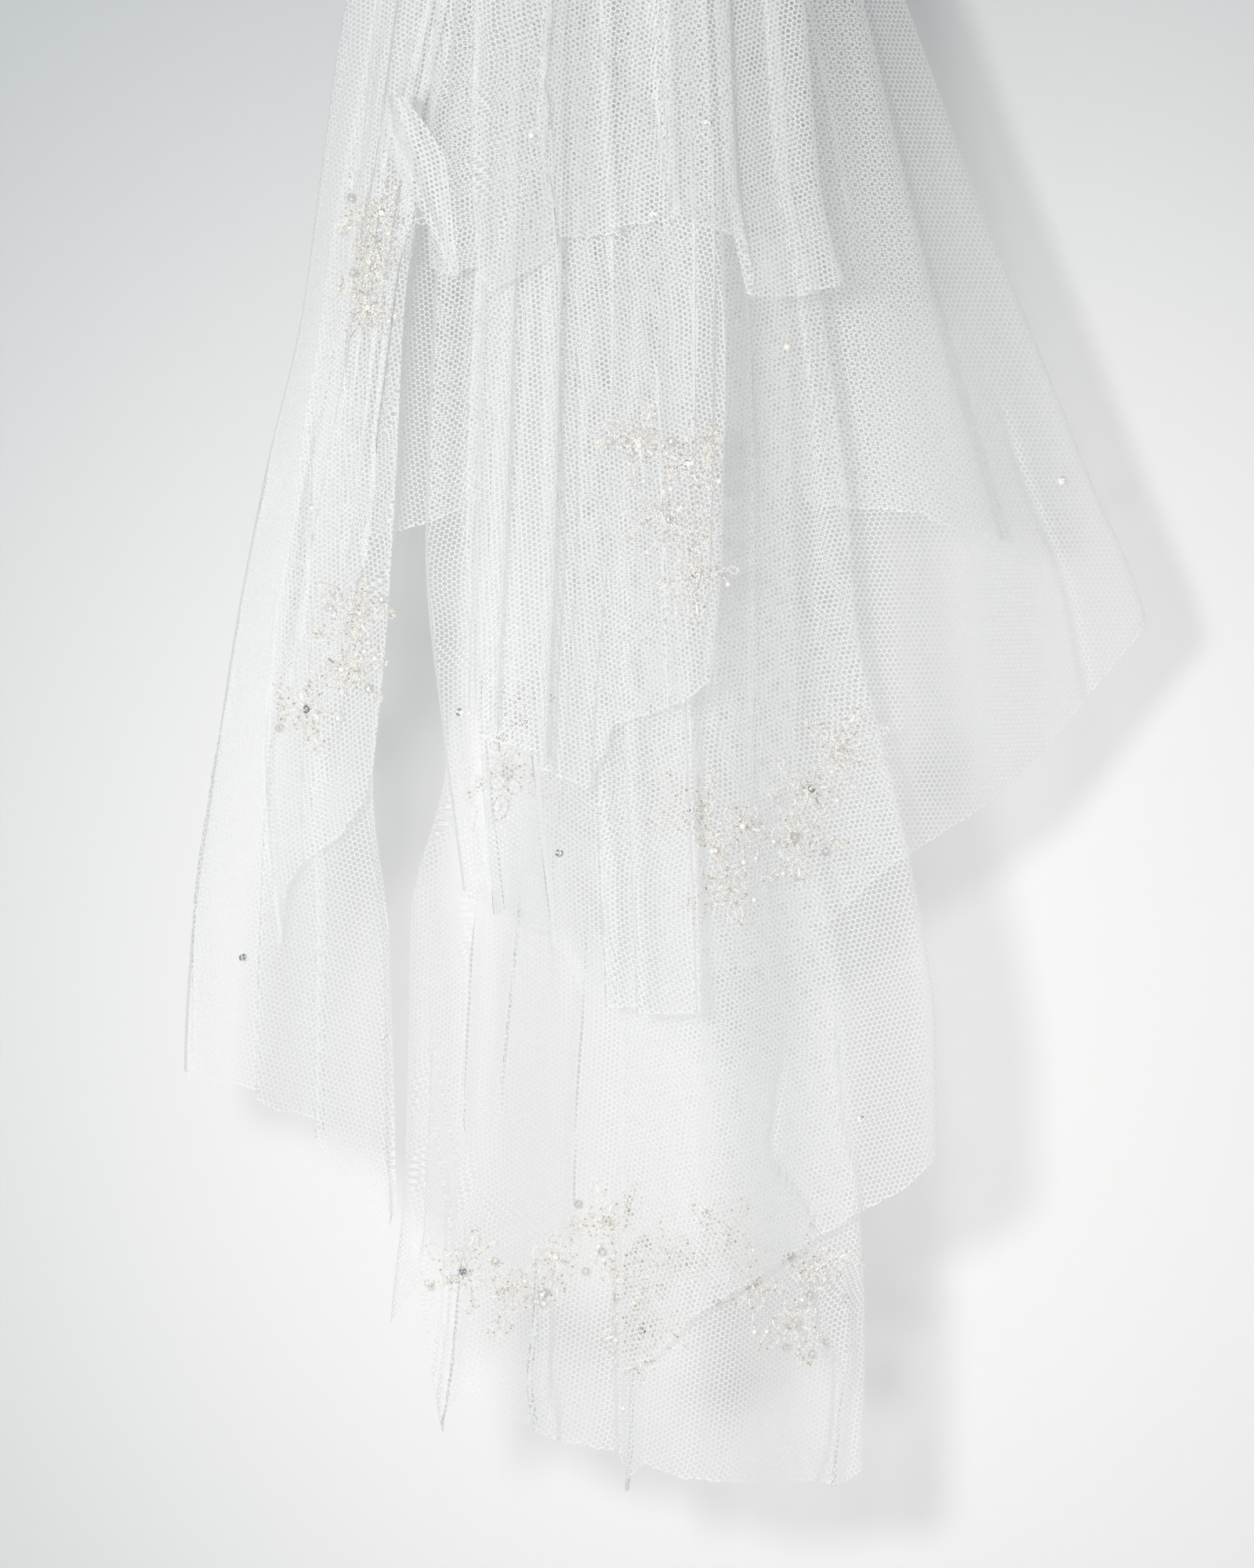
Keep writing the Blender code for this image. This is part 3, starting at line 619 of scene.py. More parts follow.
LAYS = {
    "back_right_fall": Lay(0.9, 0.25, 4, 32.0, 0.1, 0.14),
    "shoulder_tier": Lay(1.6, 0.3, 10, 4.0, 0.35, 0.05),
    "long_tier": Lay(-1.8, 0.3, 14, -6.0, 1.0, 0.0),
    "left_fall": Lay(1.8, 0.35, 16, 12.0, 0.9, 0.0),
    "front_right_fall": Lay(1.8, 0.3, 9, -17.0, 0.5, 0.0),
    "left_front_fall": Lay(-1.8, 0.35, 14, 8.0, 0.9, 0.0),
    "centre_fall": Lay(1.9, 0.35, 18, -3.0, 1.1, 0.0),
    "elbow_tier": Lay(-1.9, 0.3, 14, 10.0, 1.25, 0.0),
    "short_tier": Lay(1.9, 0.25, 20, -9.0, 1.15, 0.0),
}

PLEAT_HALF = (0.35, 0.85)
PLEAT_DEPTH = (1.2, 3.2)
PLEAT_TOP = (40.0, 330.0)
PLEAT_REACH = (200.0, 700.0)
PLEAT_DRIFT = 0.9


def fine_pleats(sheet, lay, stitch, drop):
    """How far the fine pleats stand out. Each has its own drops and drifts as it falls."""
    pick = np.random.default_rng(40 + sheet.slot * 7 + len(sheet.name))
    depth = np.zeros_like(stitch)
    for _ in range(lay.pleats):
        centre = pick.uniform(sheet.first + 0.8, sheet.last - 0.8)
        half = pick.uniform(*PLEAT_HALF)
        top = pick.uniform(*PLEAT_TOP)
        bottom = top + pick.uniform(*PLEAT_REACH)
        out = pick.uniform(*PLEAT_DEPTH) * pick.choice((-1.0, 1.0))
        drift = pick.uniform(-PLEAT_DRIFT, PLEAT_DRIFT)
        down = np.clip((drop - top) / (bottom - top), 0.0, 1.0)
        fade = np.sin(np.pi * np.sqrt(down))
        depth += out * fade * bell((stitch - centre - drift * down) / half)
    return depth


print("fine pleats in all:", sum(lay.pleats for lay in LAYS.values()))

# %% [markdown]
# The creases are given one by one. Each row names its layer, how deep and how wide the crease is,
# how far it leans, and the points that it runs through, as a place across and a drop. Only a crease
# that runs nearly straight down leans, because a leaning one needs rows of mesh along it.

# %% Creases
Crease = namedtuple("Crease", "sheet depth half lean points")

CREASES = (
    Crease("short_tier", 3.4, 4.0, 0.0,
           ((-58.8, 273.0), (-61.7, 299.0), (-64.2, 325.0), (-71.7, 385.0), (-84.6, 420.0))),
    Crease("short_tier", -3.6, 4.5, 1.1,
           ((-34.6, 273.0), (-39.2, 316.0), (-45.8, 351.0), (-50.4, 385.0), (-55.0, 434.0))),
    Crease("short_tier", 4.2, 3.2, 0.0,
           ((-2.1, 200.0), (-2.1, 273.0), (0.0, 297.0), (10.8, 338.0), (16.7, 385.0),
            (18.3, 398.0))),
    Crease("short_tier", 2.4, 3.0, 0.0,
           ((9.0, 285.0), (12.1, 312.0), (28.8, 330.0), (42.5, 352.0))),
    Crease("short_tier", -3.0, 4.5, 0.0,
           ((42.0, 180.0), (43.8, 273.0), (47.1, 347.0), (48.3, 385.0), (42.5, 396.0))),
    Crease("elbow_tier", -3.6, 4.0, 1.1,
           ((50.0, 380.0), (53.8, 422.0), (56.7, 459.0), (58.3, 483.0), (55.8, 498.0))),
    Crease("left_fall", 3.6, 3.0, 0.0,
           ((-182.0, 490.0), (-182.0, 523.0), (-192.5, 565.0), (-199.0, 608.0), (-204.6, 650.0))),
    Crease("left_fall", 3.2, 2.6, 0.0,
           ((-173.8, 500.0), (-171.3, 550.0), (-182.0, 587.0), (-186.0, 615.0))),
    Crease("left_front_fall", 3.2, 3.0, 1.3,
           ((-134.0, 505.0), (-135.4, 540.0), (-140.4, 565.0), (-138.3, 590.0))),
    Crease("left_front_fall", 4.2, 3.6, 0.0,
           ((-184.0, 630.0), (-185.6, 672.0), (-184.3, 704.0), (-180.2, 763.0), (-176.0, 780.0))),
    Crease("left_fall", -4.0, 3.4, 1.1,
           ((-134.0, 690.0), (-130.0, 727.0), (-128.0, 752.0), (-124.0, 790.0), (-124.0, 890.0))),
    Crease("front_right_fall", 3.6, 3.6, 0.0,
           ((90.4, 820.0), (82.5, 867.0), (81.3, 885.0), (92.5, 905.0), (104.2, 923.0),
            (107.0, 945.0))),
    Crease("front_right_fall", -3.4, 3.2, 0.0,
           ((113.0, 800.0), (117.5, 867.0), (124.2, 894.0), (126.7, 916.0), (130.0, 950.0))),
    Crease("long_tier", 5.0, 3.6, 0.0,
           ((-88.0, 880.0), (-92.5, 972.0), (-97.1, 1007.0), (-98.3, 1022.0), (-94.0, 1040.0))),
    Crease("long_tier", -4.0, 3.0, 1.1,
           ((-79.0, 920.0), (-82.5, 972.0), (-87.0, 1013.0), (-90.4, 1030.0))),
    Crease("long_tier", 5.0, 3.4, 1.3,
           ((-47.0, 930.0), (-49.6, 977.0), (-52.5, 1007.0), (-47.5, 1040.0))),
    Crease("long_tier", -4.4, 3.2, 0.0,
           ((-36.0, 960.0), (-38.3, 1008.0), (-33.8, 1024.0), (-34.2, 1045.0))),
    Crease("long_tier", 5.4, 3.6, 0.0,
           ((-2.0, 900.0), (0.0, 1002.0), (1.3, 1051.0), (6.7, 1070.0))),
    Crease("long_tier", -5.0, 3.2, 1.1,
           ((12.0, 930.0), (10.8, 1008.0), (10.4, 1040.0), (8.0, 1070.0))),
    Crease("long_tier", 5.0, 3.4, 0.0,
           ((104.0, 940.0), (109.6, 986.0), (116.3, 1002.0), (114.2, 1040.0), (106.3, 1065.0))),
    Crease("long_tier", -4.8, 3.0, 1.1,
           ((121.0, 940.0), (125.0, 990.0), (121.0, 1025.0), (118.0, 1068.0))),
    Crease("centre_fall", 3.8, 4.0, 1.3,
           ((-10.0, 560.0), (-15.4, 672.0), (-15.4, 760.0), (-16.3, 812.0))),
    Crease("centre_fall", -2.6, 3.8, 0.8,
           ((-52.0, 480.0), (-60.0, 600.0), (-58.0, 700.0), (-54.0, 765.0))),
    Crease("long_tier", 3.8, 3.4, 0.9, ((-102.0, 800.0), (-104.0, 870.0), (-107.0, 930.0))),
    Crease("long_tier", -3.4, 3.0, 1.1, ((-72.0, 740.0), (-76.0, 800.0), (-79.0, 870.0))),
    Crease("long_tier", 3.6, 3.2, 1.2, ((-54.0, 730.0), (-60.0, 790.0), (-67.0, 860.0))),
    Crease("long_tier", 3.2, 3.0, 1.2,
           ((-20.0, 740.0), (-22.0, 800.0), (-26.0, 860.0), (-28.0, 930.0))),
    Crease("left_fall", 3.2, 2.6, 1.3,
           ((-174.0, 523.0), (-177.0, 557.0), (-183.0, 590.0), (-188.0, 625.0))),
    Crease("left_fall", -3.0, 2.4, 1.2,
           ((-205.0, 650.0), (-212.0, 700.0), (-216.0, 760.0), (-218.0, 830.0))),
    Crease("left_front_fall", 3.4, 2.8, 1.3,
           ((-160.0, 400.0), (-163.0, 470.0), (-166.0, 540.0), (-172.0, 610.0))),
    Crease("left_front_fall", -3.0, 2.6, 1.2,
           ((-126.0, 280.0), (-133.0, 340.0), (-137.0, 400.0), (-142.0, 470.0))),
    Crease("left_front_fall", 3.0, 2.4, 1.2,
           ((-112.0, 280.0), (-117.0, 350.0), (-121.0, 420.0), (-126.0, 500.0))),
    Crease("centre_fall", 3.2, 2.8, 1.3,
           ((-34.0, 300.0), (-36.0, 420.0), (-40.0, 520.0), (-44.0, 640.0))),
    Crease("elbow_tier", 3.0, 2.6, -1.4,
           ((-52.0, 440.0), (-56.0, 520.0), (-60.0, 600.0), (-64.0, 665.0))),
    Crease("elbow_tier", 3.0, 2.6, -1.4,
           ((22.0, 440.0), (25.0, 520.0), (27.0, 590.0), (29.0, 648.0))),
    Crease("front_right_fall", 2.4, 3.2, 1.1,
           ((60.0, 440.0), (66.0, 560.0), (72.0, 680.0), (76.0, 800.0))),
    Crease("back_right_fall", 3.0, 5.0, 0.0,
           ((206.0, 480.0), (219.0, 522.0), (243.3, 581.0), (256.0, 640.0))),
)


print("creases placed by hand:", len(CREASES))

# %% [markdown]
# A crease is deepest along its line and fades out to both sides and at both ends. Its depth and the
# distance that it leans are worked out for all points of a layer at once.

# %% Creases laid over a layer
FADE_IN = 30.0
FADE_OUT = 12.0


def creases(sheet, x, drop):
    """How far a layer's listed creases stand out and lean, for arrays of places and drops."""
    depth, leaning = np.zeros_like(x), np.zeros_like(x)
    for crease in CREASES:
        if crease.sheet == sheet.name:
            line = [(d, place) for place, d in crease.points]
            (path,) = smooth(line, drop)
            start, end = line[0][0], line[-1][0]
            fade = np.clip((drop - start) / FADE_IN, 0.0, 1.0)
            fade = fade * np.clip((end + FADE_OUT - drop) / FADE_OUT, 0.0, 1.0)
            out = crease.depth * fade * bell((x - path) / crease.half)
            depth += out
            leaning += crease.lean * out
    return depth, leaning


print("most creases on one layer:", max(Counter(crease.sheet for crease in CREASES).values()))

# %% [markdown]
# Near the comb the cloth of a wide layer is packed into folds finer than a mesh can follow. There
# the net is simply denser, in upright streaks that follow the gathers and thin out towards the hem.
# A cut edge of net rolls up a little, so it shows as a thin crisp line. Each point of a layer
# carries both shares of cover as one value called packed.

# %% Packed gathers
# drop, share of the holes that packed folds fill
PACKED = (
    (0.0, 0.8), (60.0, 0.6), (140.0, 0.35), (273.0, 0.13), (440.0, 0.06), (606.0, 0.03),
    (1070.0, 0.02),
)
STREAKS_PER_STITCH = 2.6
STREAK_HALF = (0.06, 0.32)
STREAK_TOP = (-200.0, 500.0)
STREAK_REACH = (250.0, 700.0)
STREAK_SHARE = (0.15, 0.75)
STREAK_DRIFT = 0.8
FULLEST = 0.95

# How much a small share of cover fills the holes, and how much more a large one does.
FILLS = (1.3, 1.5)
ROLLED_EDGE = 1.8
ROLLED_SHARE = 1.6


def packed(sheet, stitch, drop):
    """The share of its holes that a layer's finest folds fill, in streaks along the gathers."""
    lay = LAYS[sheet.name]
    pick = np.random.default_rng(700 + sheet.slot * 11 + len(sheet.name))
    (base,) = smooth(PACKED, drop)
    share = base * lay.packing
    for _ in range(int((sheet.last - sheet.first) * STREAKS_PER_STITCH)):
        centre = pick.uniform(sheet.first, sheet.last)
        half = pick.uniform(*STREAK_HALF)
        top = pick.uniform(*STREAK_TOP)
        bottom = top + pick.uniform(*STREAK_REACH)
        strength = pick.uniform(*STREAK_SHARE) * pick.choice((-1.0, 1.0)) * lay.packing
        drift = pick.uniform(-STREAK_DRIFT, STREAK_DRIFT)
        down = (drop - top) / (bottom - top)
        along = bell(2 * down - 1) * bell((stitch - centre - drift * down) / half)
        share = share + strength * np.sqrt(base) * along
    share = np.clip(share, 0.0, FULLEST)
    left, right = sides(sheet, drop)
    across = (stitch - sheet.first) / (sheet.last - sheet.first)
    from_side = (right - left) * np.minimum(across, 1 - across)
    rolled = np.maximum(np.clip(1 - from_side / ROLLED_EDGE, 0.0, 1.0), drop >= drop[:, -1:])
    filled = FILLS[0] * share + FILLS[1] * share**3 - lay.pulled
    return np.maximum(filled, ROLLED_SHARE * rolled)


print("packed share where the view begins:", round(float(smooth(PACKED, 273.0)[0]), 2))

# %% [markdown]
# The large forms come first: the swells that all layers share, and each layer's own large folds,
# which turn to the front and to the back by turns and die out on their way down.

# %% Swells and large folds
def swell(x, drop):
    """How far the broad swells and the bow carry every layer back at one place."""
    (half,) = smooth(HALF_WIDTH, drop)
    share = smooth(FULLNESS, drop)[2]
    at = x / half
    bumps = sum(depth * bell((at - place) / reach) for place, reach, depth in SWELLS)
    return share * (BOW * at * at + bumps)


def large_folds(sheet, stitch, drop):
    """The depth of a layer's own large folds, which turn to the front and back by turns."""
    depth = np.zeros_like(stitch)
    start, side = sheet.first, -1.0
    for stitches, deep, end in sheet.folds:
        t = np.clip((stitch - start) / stitches, 0.0, 1.0)
        depth += side * deep * np.sin(np.pi * t) * np.clip((end - drop) / FOLD_END, 0.0, 1.0)
        start += stitches
        side = -side
    return depth


print("swell at the middle, 600 mm down:", round(float(swell(0.0, 600.0)), 1), "mm")

# %% [markdown]
# Now the surface itself. A point of a layer is found from its stitch on the comb and its drop: the
# layer's place in the stack, the gathers, the broad swells, the large folds and the small ones. A
# raw edge isn't hemmed, so it curls back a little, and near it the folds can't lean.

# %% A layer's surface
CURL_REACH = 3.0
CURL_BACK = 2.2
LEAN_FROM_EDGE = 12.0
WANDER_DROP = 130.0


def cloth_points(sheet, stitch, drop):
    """Places of a layer's points in millimetres, for arrays of stitches and drops."""
    lay = LAYS[sheet.name]
    gathers, folds, _ = smooth(FULLNESS, drop)
    back, step = smooth(LAYERS, drop)
    left, right = sides(sheet, drop)
    across = (stitch - sheet.first) / (sheet.last - sheet.first)
    x = left + (right - left) * across
    inside = 4 * across * (1 - across)
    moved = stitch + lay.wander * inside * np.sin(drop / WANDER_DROP + stitch / 3.0 + sheet.slot)
    out = folds * (large_folds(sheet, moved, drop) + fine_pleats(sheet, lay, moved, drop))
    creased, leaning = creases(sheet, x, drop)
    y = back - step * sheet.slot + out + folds * creased + swell(x, drop)
    y = y + GATHER_DEPTH * gathers * np.sin(2 * np.pi * stitch / STITCHES_PER_GATHER)
    from_edge = np.minimum(x - left, right - x)
    y = y + folds * CURL_BACK * np.clip(1 - from_edge / CURL_REACH, 0.0, 1.0) ** 2
    x = x + (lay.lean * out + leaning) * np.clip(from_edge / LEAN_FROM_EDGE, 0.0, 1.0)
    return x, y, -drop


print("a raw edge curls back", CURL_BACK, "mm over", CURL_REACH, "mm")

# %% [markdown]
# The hem is cut by hand with scissors. It runs straight from point to point, and two waves that
# never fall together make it a little uneven in between.

# %% The raw hem
UNEVEN = 0.8


def hem_drops(sheet, stitch):
    """How far down the raw hem is below each stitch: straight from point to point, unevenly cut."""
    shares = []
    for x, drop in sheet.hem:
        left, right = sides(sheet, drop)
        shares.append((float((x - left) / (right - left)), drop))
    across = (stitch - sheet.first) / (sheet.last - sheet.first)
    hem = np.interp(across, [s[0] for s in shares], [s[1] for s in shares])
    ends = np.clip(4 * np.minimum(across, 1 - across), 0.0, 1.0)
    wave = np.sin(stitch * 5.1 + sheet.slot) * np.sin(stitch * 2.3)
    return hem - ends * (UNEVEN + UNEVEN * wave)


print("the hems are uneven by", 2 * UNEVEN, "mm")

# %% [markdown]
# The mesh is a grid: columns close enough for the finest pleat, and rows every few millimetres.
# Smooth shading hides the facets, because a fold of net has no hard edge.

# %% Meshes from grids
COLUMNS_PER_STITCH = 7
ROW_STEP = 6.0


def grid_mesh(name, points, flat, material):
    """A mesh from a grid of points (columns, rows, xyz) in millimetres and a flat map of it."""
    columns, rows = points.shape[:2]
    i = np.arange(columns * rows).reshape(columns, rows)
    faces = np.stack([i[:-1, :-1], i[:-1, 1:], i[1:, 1:], i[1:, :-1]], axis=-1).reshape(-1, 4)
    mesh = bpy.data.meshes.new(name)
    mesh.from_pydata((points.reshape(-1, 3) * MM).tolist(), [], faces.tolist())
    layer = mesh.uv_layers.new(name="cloth")
    layer.data.foreach_set("uv", flat.reshape(-1, 2)[faces.ravel()].ravel())
    mesh.materials.append(material)
    mesh.shade_smooth()
    piece = bpy.data.objects.new(name, mesh)
    bpy.context.scene.collection.objects.link(piece)
    return piece


print("columns:", round(STITCH / COLUMNS_PER_STITCH, 2), "mm apart on the comb")

# %% [markdown]
# The UV map is the cloth laid flat: across it is measured over the folds, and down it is the drop,
# so the net keeps its size wherever the cloth spreads. A layer's net is turned a little against its
# neighbour's, as cut lengths are, and the two nets then cross in a fine changing pattern.

# %% The cloth laid flat
def laid_flat(points, turn):
    """The grid laid flat, in metres: lengths over the folds from the middle column, and drops."""
    middle = points.shape[0] // 2
    along = np.linalg.norm(np.diff(points[:, :, :2], axis=0), axis=2)
    u = np.vstack([np.zeros_like(along[:1]), np.cumsum(along, axis=0)])
    u = u - u[middle]
    v = -points[:, :, 2]
    c, s = math.cos(math.radians(turn)), math.sin(math.radians(turn))
    return np.stack([c * u - s * v, s * u + c * v], axis=-1) * MM


def spread_on(piece, name, values):
    """Give each point of a piece its own value, for the material to read."""
    piece.data.attributes.new(name, "FLOAT", "POINT").data.foreach_set("value", values.ravel())


def tree_of(piece):
    """A piece's surface, ready for rays."""
    return BVHTree.FromPolygons([v.co for v in piece.data.vertices],
                                [p.vertices for p in piece.data.polygons])


def area_of(piece):
    """A piece's surface in square metres."""
    return sum(face.area for face in piece.data.polygons)


print("turns of the net:", [lay.grain for lay in LAYS.values()])

# %% [markdown]
# Each stretch is now woven: a stitch for each column, and drops from the header down to the hem.
# The row above the hem lies close to it, so that the crisp line of the cut edge stays narrow.

# %% Weave the nine stretches
cloth, pieces = {}, {}

for sheet in SHEETS:
    columns = (sheet.last - sheet.first) * COLUMNS_PER_STITCH + 1
    stitches = np.linspace(sheet.first, sheet.last, columns)
    hem = hem_drops(sheet, stitches)
    rows = int((hem.mean() + HEADER) / ROW_STEP)
    down = np.linspace(0.0, 1.0, rows)[None, :]
    drops = -HEADER + (hem[:, None] - ROLLED_EDGE + HEADER) * down
    drops = np.hstack([drops, hem[:, None]])
    grid = np.broadcast_to(stitches[:, None], drops.shape)
    points = np.stack(cloth_points(sheet, grid, drops), axis=-1)
    flat = laid_flat(points, LAYS[sheet.name].grain)
    piece = grid_mesh("tulle_" + sheet.name, points, flat, tulle)
    spread_on(piece, "packed", packed(sheet, grid, drops))
    pieces[sheet.name] = piece
    cloth[sheet.name] = tree_of(piece)
    hem_length = np.linalg.norm(np.diff(points[:, -1], axis=0), axis=1).sum()
    print(sheet.name, "faces", len(piece.data.polygons), "area", round(area_of(piece), 3),
          "hem", round(hem_length), "longest", round(hem.max() + HEADER))

# %% [markdown]
# ## The turned corner
#
# The short tier's lower left corner is turned over to the front and hangs beside its edge. It lies
# on the tier along its right side and stands off it along its free one, with a soft crease along
# the turn. It is a small grid as well, so it is laid on the tier with a ray for each point. Its net
# is pulled together where it turns, so it is denser than the rest.

# %% Where the corner lies
# drop, left edge, right edge, how far the free side stands off
TURNED_CORNER = (
    (329.0, -124.0, -113.0, 12.0),
    (348.0, -125.5, -99.0, 11.0),
    (364.0, -119.0, -90.5, 9.0),
    (386.0, -106.0, -88.0, 6.0),
    (403.0, -97.0, -86.0, 3.0),
    (423.0, -87.0, -83.5, 1.0),
)
AHEAD = -110.0


def on_cloth(name, x, drop):
    """The front point of a layer at a place and drop, in millimetres, and the way it faces."""
    start = Vector((x, AHEAD, -drop)) * MM
    point, normal, _, _ = cloth[name].ray_cast(start, Vector((0.0, 1.0, 0.0)))
    if point is None:
        point, normal, _, _ = cloth[name].find_nearest(start)
    if normal.y > 0:
        normal = -normal
    return point.y / MM, normal


print("the tier's front at the corner:", round(on_cloth("short_tier", -90.0, 380.0)[0], 1), "mm")

# %% [markdown]
# The corner follows the tier row by row, lifted off it and creased, and is then smoothed, because a
# second thickness of net bridges the narrow folds under it.

# %% Turn the corner
CORNER_LIFT = 2.2
CORNER_SHARE = 1.1
EDGE_MARGIN = 2.0
CORNER_GRID = (40, 48)
CORNER_TURN = 48.0
SMOOTHINGS = 3

# place across the corner, half its width as the same share, depth
CORNER_CREASES = ((0.28, 0.10, 1.4), (0.52, 0.08, -1.1), (0.74, 0.09, 1.2))


def corner_points(columns, rows):
    """The turned corner's grid of points."""
    tier = next(sheet for sheet in SHEETS if sheet.name == "short_tier")
    grid = np.zeros((columns, rows, 3))
    for r in range(rows):
        drop = TURNED_CORNER[0][0] + (TURNED_CORNER[-1][0] - TURNED_CORNER[0][0]) * r / (rows - 1)
        left, right, stand = (float(v) for v in smooth(TURNED_CORNER, drop))
        edge = float(sides(tier, drop)[0]) + 4 * EDGE_MARGIN
        lowest = min(drop, tier.hem[0][1] - 2 * EDGE_MARGIN)
        for c in range(columns):
            across = c / (columns - 1)
            x = left + (right - left) * across
            y = on_cloth("short_tier", max(x, edge), lowest)[0]
            y = y - CORNER_LIFT - stand * (1 - across) ** 2
            y -= sum(deep * float(bell((across - at) / half)) for at, half, deep in CORNER_CREASES)
            grid[c, r] = (x, y, -drop)
    smoothed = grid.copy()
    for _ in range(SMOOTHINGS):
        smoothed[:, 1:-1, 1] = (smoothed[:, :-2, 1] + smoothed[:, 1:-1, 1] + smoothed[:, 2:, 1]) / 3
        smoothed[1:-1, :, 1] = (smoothed[:-2, :, 1] + smoothed[1:-1, :, 1] + smoothed[2:, :, 1]) / 3
    return smoothed


corner = corner_points(*CORNER_GRID)
flat = laid_flat(corner, CORNER_TURN)
pieces["turned_corner"] = grid_mesh("tulle_turned_corner", corner, flat, tulle)
rim = np.full(corner.shape[:2], CORNER_SHARE)
rim[:2], rim[-2:], rim[:, :2], rim[:, -2:] = (ROLLED_SHARE,) * 4
spread_on(pieces["turned_corner"], "packed", rim)
cloth["turned_corner"] = tree_of(pieces["turned_corner"])
print("the turned corner's area:", round(area_of(pieces["turned_corner"]), 4), "square metres")

# %% [markdown]
# ## Beads, stones and sequins
#
# The lace is drawn in beads: petals and leaves outlined with glass seed beads, a faceted stone in
# the middle of a flower, and clear cup sequins and pearls between. Thousands of separate objects
# would be slow, so each spray is one mesh, and every bead in it is a copy of a small master shape.
# A master is a stack of rings about its own axis, given as heights and radii.

# %% Master shapes
SEQUIN_RINGS = ((0.16, -0.02), (0.55, 0.0), (1.0, 0.30), (1.0, 0.36), (0.55, 0.06), (0.16, 0.04))


def turned(profile, sides, twist=0.0):
    """A master turned about its axis from rows of height and radius, closed at both ends."""
    points = [(0.0, 0.0, profile[0][0])]
    for row, (height, radius) in enumerate(profile[1:-1]):
        for k in range(sides):
            angle = 2 * math.pi * (k + twist * row) / sides
            points.append((radius * math.cos(angle), radius * math.sin(angle), height))
    points.append((0.0, 0.0, profile[-1][0]))
    last, faces = len(points) - 1, []
    for k in range(sides):
        faces.append((0, 1 + (k + 1) % sides, 1 + k, 1 + k))
        top = last - sides
        faces.append((last, top + k, top + (k + 1) % sides, top + (k + 1) % sides))
        for row in range(len(profile) - 3):
            a, b = 1 + row * sides, 1 + (row + 1) * sides
            faces.append((a + k, a + (k + 1) % sides, b + (k + 1) % sides, b + k))
    return np.array(points), np.array(faces)


def cupped_sequin(sides):
    """A cup sequin: a thin dished ring, 1 in radius, with a small hole for its stitch."""
    points = [(r * math.cos(2 * math.pi * k / sides), r * math.sin(2 * math.pi * k / sides), z)
              for r, z in SEQUIN_RINGS for k in range(sides)]
    faces = []
    for row in range(len(SEQUIN_RINGS)):
        a, b = row * sides, (row + 1) % len(SEQUIN_RINGS) * sides
        faces += [(a + (k + 1) % sides, a + k, b + k, b + (k + 1) % sides) for k in range(sides)]
    return np.array(points), np.array(faces)


MASTERS = {
    "seed": turned(((-0.5, 0.0), (-0.28, 0.95), (0.28, 0.95), (0.5, 0.0)), 6),
    "bugle": turned(((-0.5, 0.0), (-0.5, 0.9), (0.5, 0.9), (0.5, 0.0)), 6),
    "stone": turned(((-0.1, 0.0), (-0.1, 0.92), (0.12, 1.0), (0.42, 0.58), (0.42, 0.0)), 8, 0.5),
    "pearl": turned(((-1.0, 0.0), (-0.8, 0.6), (-0.3, 0.95),
                     (0.3, 0.95), (0.8, 0.6), (1.0, 0.0)), 10),
    "sequin": cupped_sequin(12),
}
print("faces in a master:", {name: len(master[1]) for name, master in MASTERS.items()})

# %% [markdown]
# ## What the trimmings are made of
#
# Seed beads are cut from drawn glass tube and lined with silver. Every face of a bead carries a
# number called tone, made when the bead is placed, and the materials read it. Tone is partly the
# beads' own unevenness and partly painted light: its bright end is a painted glint and its dark end
# a painted dark reflection, and that is what makes a row of beads glint unevenly.

# %% Glass, crystal, film, pearl and thread
def tone_ramp(tree, tones):
    """A socket with the colour that a face's tone picks from a row of colours."""
    tone = add(tree, "ShaderNodeAttribute", {"attribute_name": "tone"}, {})
    ramp = add(tree, "ShaderNodeValToRGB", {}, {0: tone.outputs["Fac"]})
    first, last = ramp.color_ramp.elements
    first.color, last.color = linear(tones[0]), linear(tones[-1])
    for i, colour in enumerate(tones[1:-1], 1):
        ramp.color_ramp.elements.new(i / (len(tones) - 1)).color = linear(colour)
    return ramp.outputs[0]


def trimming(name, tones, **values):
    """A trimming's finish: colours picked by tone, and fixed values for the shader's sockets."""
    material, tree = new_material(name)
    inputs = {key.replace("_", " "): value for key, value in values.items()}
    shader = add(tree, "ShaderNodeBsdfPrincipled", {},
                 {"Base Color": tone_ramp(tree, tones), **inputs})
    add(tree, "ShaderNodeOutputMaterial", {}, {"Surface": shader.outputs[0]})
    return material


# The glass and crystal ramps run from grey to pure white: the white ends are painted glints and the
# grey ends painted dark reflections, over the beads' own ivory and silver tones.
FINISHES = (
    trimming("silver_lined_glass", ("#B4A796", "#E6DFD4", "#FBF9F6", "#FFFFFF"),
             Roughness=0.18, IOR=1.52, Coat_Weight=1.0, Coat_Roughness=0.1),
    trimming("foil_backed_crystal", ("#7E868B", "#B4BABD", "#E0E3E4", "#FFFFFF"),
             Roughness=0.08, Metallic=0.15, IOR=1.65),
    trimming("clear_polyester_film", ("#C9CCCB", "#F4F4F1"), Roughness=0.08, IOR=1.57, Alpha=0.5),
    trimming("nacre", ("#EFE9E0", "#FBF8F3"),
             Roughness=0.2, IOR=1.53, Coat_Weight=0.6, Coat_Roughness=0.08),
    trimming("twisted_polyester_thread", ("#EAE5DB", "#F7F4EE"),
             Roughness=0.6, IOR=1.5, Sheen_Weight=0.3),
)
GLASS, CRYSTAL, FILM, NACRE, THREAD = range(len(FINISHES))
MASTER_FINISH = {"seed": GLASS, "bugle": GLASS, "stone": CRYSTAL, "pearl": NACRE, "sequin": FILM}
print("finishes:", [finish.name for finish in FINISHES])

